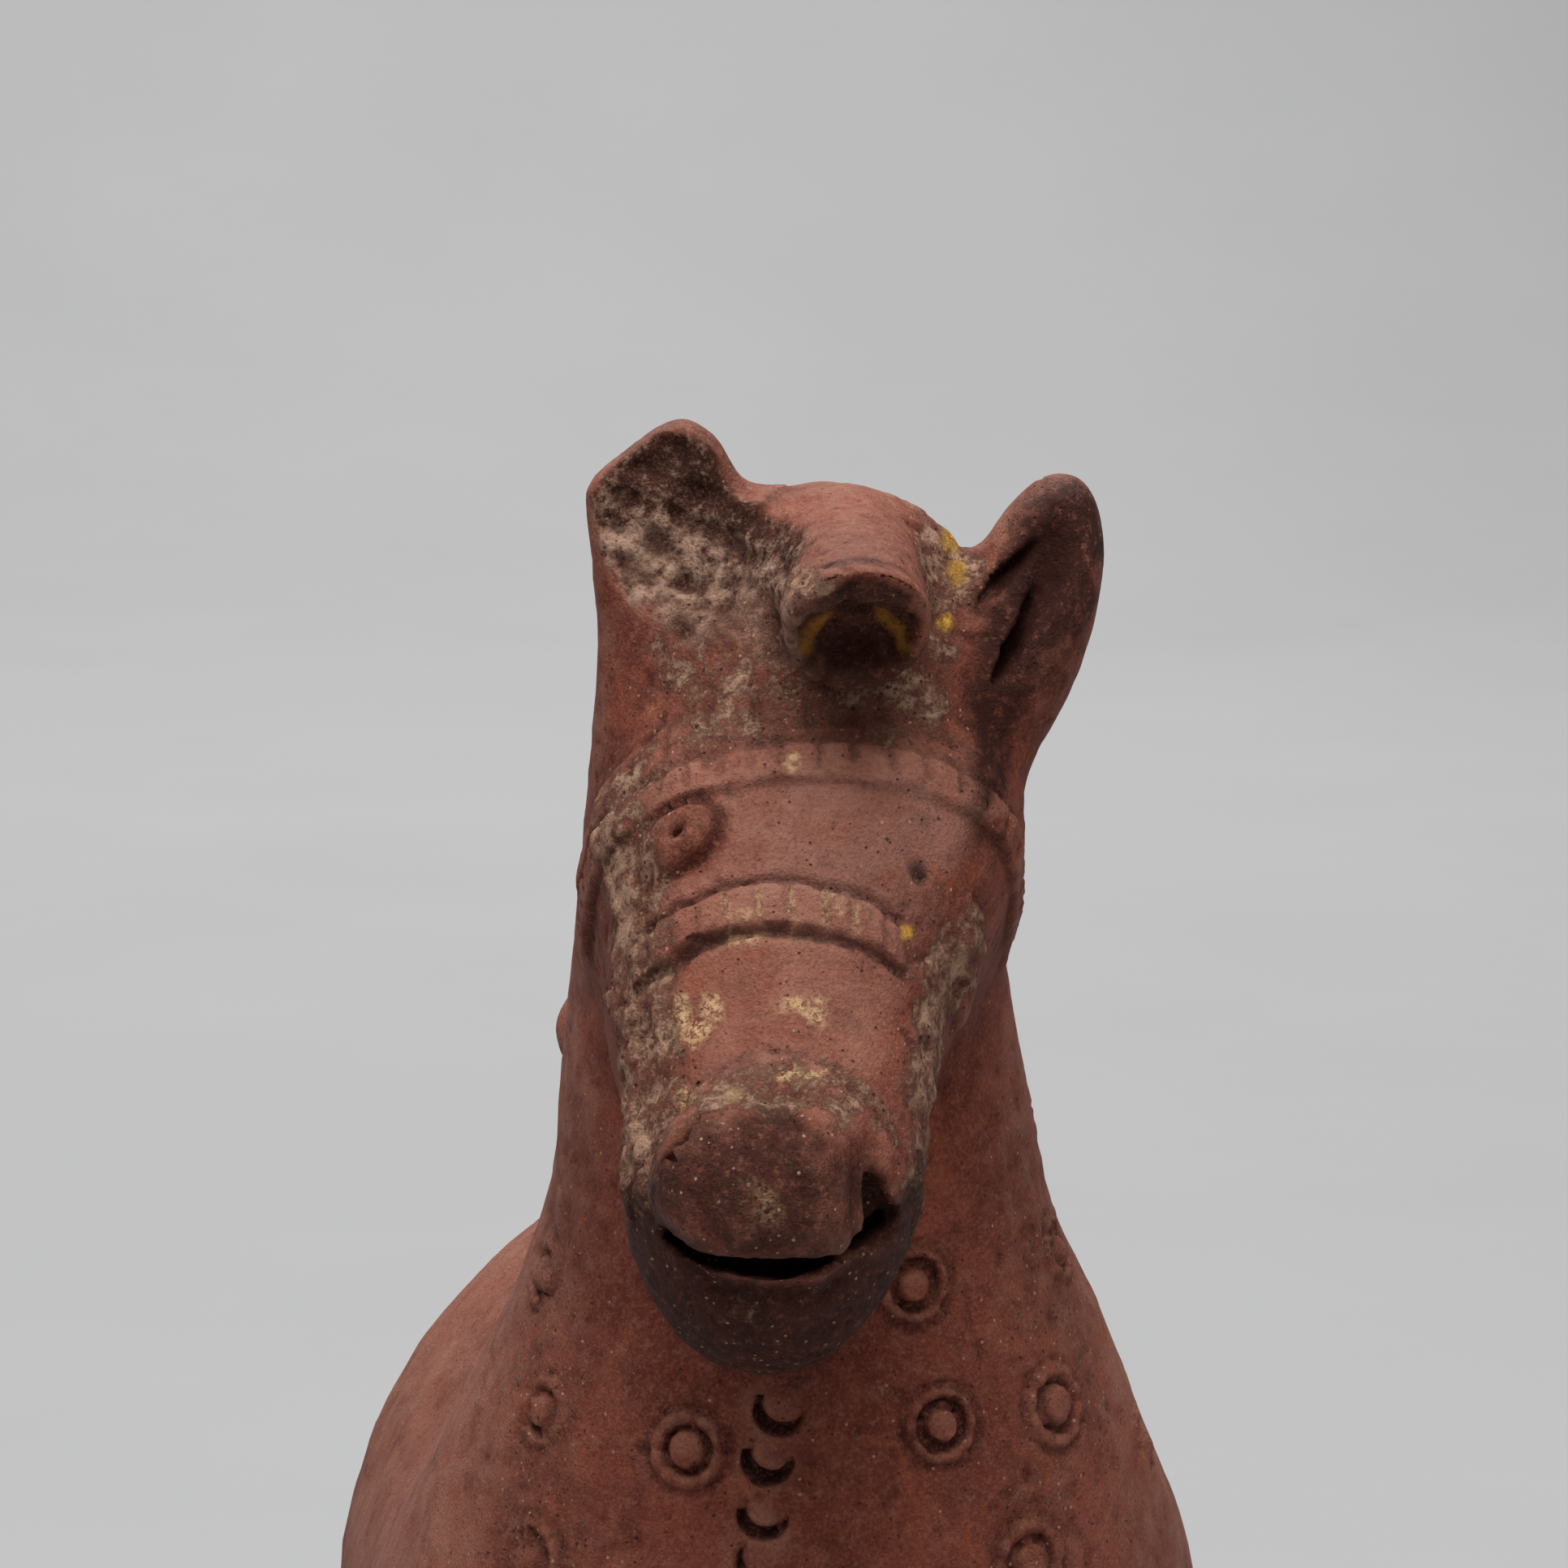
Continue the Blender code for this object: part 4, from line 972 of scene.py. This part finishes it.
# darker still: stain with painted shade in the ear and on the lip, painted shade on the chin and on the
# underside of the tuft
under_tuft = step((points - TUFT_END) @ TUFT_DOWN, 1.0, 4.0)
under_tuft *= step(forelock(points), 1.0, 0.0) * step(y, -103.0, -108.0)
masks["dark_stain_and_shade"] = np.max([jaw_front, in_bowl, inner_ear, 0.85 * on_pad, under_tuft], axis=0)
# a paler rub on the flat of the face
on_face = step(w, -6.0, -3.0) * step(v, -16.0, -6.0) * step(v, 27.0, 21.0) * step(y, -92.0, -98.0)
rubbed = 0.5 + 0.5 * step(rough(points, 5.0, 95, 3), -0.4, 0.5)
masks["pale"] = on_face * step(eye, -0.1, 0.2) * (1.0 - 0.3 * step(v, 4.0, 9.0)) * rubbed
masks["dark_top"] = step(z + 0.35 * x, 261.0, 268.0)
# Painted shade: points carved well below the bare clay, in cuts, slots and holes, are darkened.
masks["deep"] = 1.0 - step(clay(points), -1.6, -0.25)
for name, values in masks.items():
    layer = clay_mesh.attributes.new(name, "FLOAT", "POINT")
    layer.data.foreach_set("value", values.astype(np.float32))

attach(piece, "root")
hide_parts("horse")


# Shared effects for the colour. Each is a node group that reads a place in millimetres and gives masks or
# colours.
def group(name, inputs, outputs):
    """An empty node group with these input and output sockets."""
    tree = bpy.data.node_groups.new(name, "ShaderNodeTree")
    for label, kind, value in inputs:
        socket = tree.interface.new_socket(name=label, in_out="INPUT", socket_type=kind)
        if value is not None:
            socket.default_value = value
    for label, kind in outputs:
        tree.interface.new_socket(name=label, in_out="OUTPUT", socket_type=kind)
    return tree, tree.nodes.new("NodeGroupInput"), tree.nodes.new("NodeGroupOutput")


def node(tree, kind, **values):
    """A node with its properties and inputs set by name. A socket as a value is linked, the rest is set."""
    made = tree.nodes.new(kind)
    sockets = values.pop("sockets", {})
    for key, value in values.items():
        setattr(made, key, value)
    for key, value in sockets.items():
        if isinstance(value, bpy.types.NodeSocket):
            tree.links.new(value, made.inputs[key])
        else:
            made.inputs[key].default_value = value
    return made


def noise(tree, where, scale, detail=3.0, rough_share=0.55, distortion=0.0):
    """Noise from 0 to 1 with this many cells in a millimetre."""
    sockets = {
        "Vector": where,
        "Scale": scale,
        "Detail": detail,
        "Roughness": rough_share,
        "Distortion": distortion,
    }
    return node(tree, "ShaderNodeTexNoise", sockets=sockets).outputs["Fac"]


def ramp(tree, value, low, high):
    """0 below low, 1 above high, straight between."""
    made = node(
        tree,
        "ShaderNodeMapRange",
        sockets={"Value": value, "From Min": low, "From Max": high, "To Min": 0.0, "To Max": 1.0},
    )
    return made.outputs["Result"]


def sums(tree, operation, a, b):
    """One sum of two values, held between 0 and 1."""
    made = node(tree, "ShaderNodeMath", operation=operation, use_clamp=True, sockets={0: a, 1: b})
    return made.outputs[0]


def times(tree, a, b):
    """Product of two masks."""
    return sums(tree, "MULTIPLY", a, b)


def raised(tree, mask, share, height):
    """A height with a share of a mask added."""
    made = node(tree, "ShaderNodeMath", operation="MULTIPLY_ADD", sockets={0: mask, 1: share, 2: height})
    return made.outputs[0]


def effect(tree, kind, **sockets):
    """A node group placed in a material."""
    return node(tree, "ShaderNodeGroup", node_tree=kind, sockets=sockets)


def mix(tree, share, a, b):
    """Two colours mixed by a share."""
    made = node(tree, "ShaderNodeMix", data_type="RGBA", sockets={0: share, 6: a, 7: b})
    return made.outputs[2]


def colour(r, g, b):
    """A colour seen on screen, 0 to 255, made linear: ((c + 0.055) / 1.055) ^ 2.4, or c / 12.92 if dark."""
    shares = [c / 255.0 for c in (r, g, b)]
    return tuple(c / 12.92 if c <= 0.04 else ((c + 0.055) / 1.055) ** 2.4 for c in shares) + (1.0,)


# Slip: a thin red-brown wash over the clay, brushed on, thicker in one place than another.
slip, slip_in, slip_out = group(
    "red_slip",
    (
        ("Place", "NodeSocketVector", None),
        ("Facing", "NodeSocketVector", None),
        ("Worn", "NodeSocketFloat", 0.0),
    ),
    (("Color", "NodeSocketColor"), ("Rub", "NodeSocketFloat")),
)
place_mm = slip_in.outputs["Place"]
broad = noise(slip, place_mm, 0.055, 4.0, 0.6)
cloud = noise(slip, place_mm, 0.22, 5.0, 0.65, 0.4)
fleck = noise(slip, place_mm, 0.9, 4.0, 0.7)
base = mix(slip, ramp(slip, broad, 0.38, 0.62), colour(98, 42, 30), colour(130, 66, 50))
base = mix(slip, times(slip, ramp(slip, cloud, 0.45, 0.66), 0.65), base, colour(74, 30, 22))
warm = ramp(slip, noise(slip, place_mm, 0.10, 5.0, 0.7, 0.6), 0.52, 0.64)
base = mix(slip, times(slip, warm, 0.6), base, colour(138, 70, 46))
base = mix(slip, times(slip, ramp(slip, fleck, 0.54, 0.72), 0.55), base, colour(142, 92, 76))
rub = times(slip, slip_in.outputs["Worn"], ramp(slip, cloud, 0.30, 0.62))
base = mix(slip, times(slip, rub, 0.75), base, colour(150, 98, 80))
# Paler on the faces that turn upward.
up = node(slip, "ShaderNodeSeparateXYZ", sockets={0: slip_in.outputs["Facing"]}).outputs["Z"]
upward_pale_grain = noise(slip, place_mm, 0.4, 5.0, 0.75)
upward_pale = times(slip, ramp(slip, up, 0.05, 0.75), ramp(slip, upward_pale_grain, 0.34, 0.66))
base = mix(slip, times(slip, upward_pale, 0.45), base, colour(160, 114, 94))
slip.links.new(base, slip_out.inputs["Color"])
slip.links.new(rub, slip_out.inputs["Rub"])

# Dust: pale lime and soil dried on in grains, thick in some places and thin in others.
dust, dust_in, dust_out = group(
    "lime_dust",
    (("Place", "NodeSocketVector", None), ("Amount", "NodeSocketFloat", 0.0)),
    (("Color", "NodeSocketColor"), ("Cover", "NodeSocketFloat")),
)
place_mm = dust_in.outputs["Place"]
grit = noise(dust, place_mm, 1.6, 5.0, 0.75)
patch = noise(dust, place_mm, 0.35, 4.0, 0.7, 0.5)
both = sums(dust, "ADD", times(dust, grit, 0.6), times(dust, patch, 0.4))
over = node(
    dust, "ShaderNodeMath", operation="MULTIPLY_ADD", sockets={0: dust_in.outputs["Amount"], 1: 0.42, 2: both}
).outputs[0]
cover = ramp(dust, over, 0.70, 0.80)
cover = times(dust, cover, ramp(dust, dust_in.outputs["Amount"], 0.02, 0.25))
tint = mix(dust, ramp(dust, patch, 0.40, 0.62), colour(138, 96, 80), colour(198, 160, 132))
tint = mix(dust, times(dust, ramp(dust, grit, 0.40, 0.62), 0.5), tint, colour(126, 82, 66))
dust.links.new(tint, dust_out.inputs["Color"])
dust.links.new(cover, dust_out.inputs["Cover"])

# Pores: small holes where grit and chaff burnt out; their dark colour is painted shade inside the holes.
pores, pores_in, pores_out = group(
    "burnt_pores",
    (("Place", "NodeSocketVector", None), ("Size", "NodeSocketFloat", 1.0)),
    (("Mask", "NodeSocketFloat"),),
)
cells = node(
    pores,
    "ShaderNodeTexVoronoi",
    feature="F1",
    sockets={"Vector": pores_in.outputs["Place"], "Scale": pores_in.outputs["Size"], "Randomness": 1.0},
)
holes = sums(pores, "SUBTRACT", 1.0, ramp(pores, cells.outputs["Distance"], 0.06, 0.17))
few = noise(pores, pores_in.outputs["Place"], 0.5, 2.0)
holes = times(pores, holes, ramp(pores, few, 0.47, 0.56))
pores.links.new(holes, pores_out.inputs["Mask"])

# Specks: grains of lime or soot, a few to each square millimetre, in patches.
specks_group, specks_in, specks_out = group(
    "specks",
    (
        ("Place", "NodeSocketVector", None),
        ("Size", "NodeSocketFloat", 1.0),
        ("Share", "NodeSocketFloat", 0.5),
    ),
    (("Mask", "NodeSocketFloat"),),
)
grains = node(
    specks_group,
    "ShaderNodeTexVoronoi",
    feature="F1",
    sockets={"Vector": specks_in.outputs["Place"], "Scale": specks_in.outputs["Size"], "Randomness": 1.0},
)
chosen = node(specks_group, "ShaderNodeSeparateXYZ", sockets={0: grains.outputs["Color"]}).outputs["X"]
picked = node(
    specks_group, "ShaderNodeMath", operation="LESS_THAN", sockets={0: chosen, 1: specks_in.outputs["Share"]}
)
ragged = noise(specks_group, specks_in.outputs["Place"], 4.0, 3.0, 0.7)
reach_of = sums(specks_group, "ADD", grains.outputs["Distance"], times(specks_group, ragged, 0.35))
round_grain = sums(specks_group, "SUBTRACT", 1.0, ramp(specks_group, reach_of, 0.34, 0.46))
mask = times(specks_group, round_grain, picked.outputs[0])
specks_group.links.new(mask, specks_out.inputs["Mask"])


def attribute(tree, name):
    """A mask kept on the skin."""
    return node(tree, "ShaderNodeAttribute", attribute_type="GEOMETRY", attribute_name=name).outputs["Fac"]


# Terracotta: red slip over orange-red clay, with painted shade in the hollows and cuts, rubbed on the edges,
# bare and grainy at the breaks, with specks of soot, dark stains and painted shade on the chin, lip, ear and
# under the tuft, dried lime, cream paint and specks of ochre.
terracotta = bpy.data.materials.new("terracotta")
terracotta.use_nodes = True
tree = terracotta.node_tree
shader = tree.nodes["Principled BSDF"]
where = node(tree, "ShaderNodeTexCoord").outputs["Object"]
in_mm = node(tree, "ShaderNodeVectorMath", operation="SCALE", sockets={0: where, "Scale": 1000.0})
place_mm = in_mm.outputs[0]

facing = node(tree, "ShaderNodeNewGeometry").outputs["Normal"]
slipped = effect(tree, slip, Place=place_mm, Facing=facing, Worn=attribute(tree, "worn"))
body = slipped.outputs["Color"]
hollows = attribute(tree, "hollow")
# Painted shade: the hollows are darkened.
body = mix(tree, times(tree, hollows, 0.85), body, colour(52, 24, 20))
# Painted shade in the cuts.
body = mix(tree, attribute(tree, "deep"), body, colour(40, 18, 16))

# Stains, with painted shade on the chin and jaw, a painted shadow below the tuft, and stain mixed with
# painted shade in the ear and on the lip.
stain_and_shade_grain = noise(tree, place_mm, 0.6, 5.0, 0.7)
stained_and_shaded = times(tree, attribute(tree, "stain_and_shade"), ramp(tree, stain_and_shade_grain, 0.30, 0.58))
body = mix(tree, times(tree, stained_and_shaded, 0.85), body, colour(52, 24, 18))
fracture_grain = noise(tree, place_mm, 0.8, 5.0, 0.7)
lit = sums(tree, "SUBTRACT", fracture_grain, times(tree, attribute(tree, "dark_top"), 0.16))
bare = mix(tree, ramp(tree, lit, 0.36, 0.58), colour(58, 34, 26), colour(164, 132, 112))
# Painted shade in the hollows of the breaks.
bare = mix(tree, times(tree, hollows, 0.9), bare, colour(48, 26, 20))
body = mix(tree, attribute(tree, "broken"), body, bare)
# The broken end of the tuft faces down; its near-black colour is painted shade.
inner = mix(tree, ramp(tree, fracture_grain, 0.40, 0.58), colour(34, 16, 11), colour(66, 34, 24))
body = mix(tree, attribute(tree, "tuft_end"), body, inner)

body = mix(tree, times(tree, attribute(tree, "pale"), 0.33), body, colour(176, 132, 116))
mottle = noise(tree, place_mm, 2.4, 4.0, 0.7)
body = mix(tree, times(tree, ramp(tree, mottle, 0.50, 0.72), 0.42), body, colour(58, 24, 18))
body = mix(tree, times(tree, ramp(tree, mottle, 0.50, 0.30), 0.30), body, colour(168, 112, 90))

pored = effect(tree, pores, Place=place_mm, Size=0.95)
fine_pores = effect(tree, pores, Place=place_mm, Size=2.3)
specks = sums(tree, "MAXIMUM", pored.outputs["Mask"], times(tree, fine_pores.outputs["Mask"], 0.7))
# Painted shade in the pores: their holes are darkened.
body = mix(tree, times(tree, specks, 0.8), body, colour(56, 28, 22))

crust_here = attribute(tree, "crust")
crusted = effect(tree, dust, Place=place_mm, Amount=crust_here)
body = mix(tree, times(tree, ramp(tree, crust_here, 0.1, 0.6), 0.4), body, colour(104, 62, 50))
body = mix(tree, crusted.outputs["Cover"], body, crusted.outputs["Color"])

# Darker still: painted shade on the chin and under the tuft, stain mixed with painted shade in the ear and on
# the lip.
darkening_grain = ramp(tree, noise(tree, place_mm, 1.1, 5.0, 0.7), 0.70, 0.52)
blackened_and_shaded = times(tree, attribute(tree, "dark_stain_and_shade"), darkening_grain)
body = mix(tree, times(tree, blackened_and_shaded, 0.90), body, colour(44, 17, 10))

some = sums(tree, "ADD", times(tree, crust_here, 0.36), 0.012)
aside = node(tree, "ShaderNodeVectorMath", operation="ADD", sockets={0: place_mm, 1: (31.0, 17.0, 53.0)})
lime = effect(tree, specks_group, Place=place_mm, Size=1.5, Share=some)
soot = effect(tree, specks_group, Place=aside.outputs[0], Size=1.15, Share=some)
body = mix(tree, times(tree, lime.outputs["Mask"], 0.65), body, colour(184, 146, 118))
body = mix(tree, times(tree, soot.outputs["Mask"], 0.8), body, colour(50, 26, 21))
paint_grain = noise(tree, place_mm, 1.8, 4.0, 0.7)
cream = times(tree, attribute(tree, "cream"), ramp(tree, paint_grain, 0.42, 0.52))
body = mix(tree, cream, body, mix(tree, paint_grain, colour(160, 120, 88), colour(206, 176, 130)))
ochre = times(tree, attribute(tree, "ochre"), ramp(tree, paint_grain, 0.30, 0.46))
# The ochre in the broken end is a darker copy: painted shade.
ochre_colour = mix(tree, attribute(tree, "tuft_end"), colour(190, 142, 56), colour(150, 98, 34))
body = mix(tree, ochre, body, ochre_colour)
tree.links.new(body, shader.inputs["Base Color"])

dull = mix(tree, slipped.outputs["Rub"], (0.66, 0.66, 0.66, 1.0), (0.56, 0.56, 0.56, 1.0))
dull = mix(tree, crusted.outputs["Cover"], dull, (0.92, 0.92, 0.92, 1.0))
dull = mix(tree, attribute(tree, "broken"), dull, (0.88, 0.88, 0.88, 1.0))
dull = mix(tree, hollows, dull, (0.85, 0.85, 0.85, 1.0))
tree.links.new(dull, shader.inputs["Roughness"])
shader.inputs["Specular IOR Level"].default_value = 0.12

lumps = noise(tree, place_mm, 0.8, 5.0, 0.65)
grit = noise(tree, place_mm, 3.2, 4.0, 0.7)
height = raised(tree, lumps, 0.34, 0.0)
height = raised(tree, grit, 0.20, height)
height = raised(tree, specks, -0.22, height)
limy = times(tree, crusted.outputs["Cover"], grit)
height = raised(tree, limy, 0.35, height)
relief = node(tree, "ShaderNodeBump", sockets={"Strength": 1.0, "Distance": 0.0012, "Height": height})
tree.links.new(relief.outputs["Normal"], shader.inputs["Normal"])
clay_mesh.materials.append(terracotta)

# The pale floor is matt paper that hangs from a roll: it lies level under the horse and sweeps up behind it
# in one wide curve.
ground = bpy.data.meshes.new("floor")
bend_at, bend_radius, top, half_width = 2.2, 1.2, 4.5, 5.0
outline = [(-3.5, 0.0), (bend_at, 0.0)]
for n in range(1, 17):
    turn = math.radians(90.0 * n / 16)
    outline.append((bend_at + bend_radius * math.sin(turn), bend_radius * (1.0 - math.cos(turn))))
outline.append((bend_at + bend_radius, top))
corners = [(x, y, z) for y, z in outline for x in (-half_width, half_width)]
strips = [(2 * n, 2 * n + 1, 2 * n + 3, 2 * n + 2) for n in range(len(outline) - 1)]
ground.from_pydata(corners, [], strips)
ground.shade_smooth()
floor = bpy.data.objects.new("floor", ground)
bpy.context.scene.collection.objects.link(floor)
paper = bpy.data.materials.new("pale_paper")
paper.use_nodes = True
paper_tree = paper.node_tree
paper_shader = paper_tree.nodes["Principled BSDF"]
fibre = noise(paper_tree, node(paper_tree, "ShaderNodeTexCoord").outputs["Object"], 6.0, 4.0)
pale_grey = mix(paper_tree, fibre, (0.335, 0.335, 0.337, 1.0), (0.362, 0.362, 0.364, 1.0))
paper_tree.links.new(pale_grey, paper_shader.inputs["Base Color"])
paper_shader.inputs["Roughness"].default_value = 0.9
ground.materials.append(paper)


# Soft studio light: one wide lamp above the face, a weak one from the right, one on the paper behind, and a
# dim grey room.
def lamp(name, size, power, at, aim):
    """A square soft light at a place, turned to a point."""
    data = bpy.data.lights.new(name, "AREA")
    data.shape = "SQUARE"
    data.size = size
    data.energy = power
    made = bpy.data.objects.new(name, data)
    made.location = at
    made.rotation_euler = (Vector(at) - Vector(aim)).to_track_quat("Z", "Y").to_euler()
    bpy.context.scene.collection.objects.link(made)


face_at = (-0.003, -0.0949, 0.2444)  # middle of the face
lamp("key", 1.1, 25.0, (-0.14, -0.54, 1.28), face_at)
lamp("fill", 1.6, 4.5, (1.4, -1.0, 0.9), face_at)
lamp("back", 1.6, 66.0, (0.0, 1.9, 2.2), (0.0, 1.95, 0.0))
world = bpy.data.worlds.new("studio")
world.use_nodes = True
world.node_tree.nodes["Background"].inputs["Color"].default_value = (0.85, 0.85, 0.85, 1.0)
world.node_tree.nodes["Background"].inputs["Strength"].default_value = 0.23
bpy.context.scene.world = world

# The camera looks at the face from a little to its right side and a little above, close, with a long lens.
azimuth, elevation, far = math.radians(-5.0), math.radians(8.0), 0.500
toward = Vector(
    (-math.sin(azimuth) * math.cos(elevation), math.cos(azimuth) * math.cos(elevation), -math.sin(elevation))
)
camera = bpy.data.objects.new("camera", bpy.data.cameras.new("camera"))
camera.data.sensor_width = 36.0
camera.data.lens = 36.0 * 6500.0 / 1932.0
camera.data.clip_start = 0.01
camera.data.clip_end = 50.0
camera.location = Vector(face_at) - far * toward
camera.rotation_euler = toward.to_track_quat("-Z", "Y").to_euler()
bpy.context.scene.collection.objects.link(camera)
bpy.context.scene.camera = camera
bpy.context.scene.view_settings.view_transform = "Standard"

visual = np.empty(3 * len(clay_mesh.vertices))
clay_mesh.vertices.foreach_get("co", visual)
visual = visual.reshape(-1, 3)
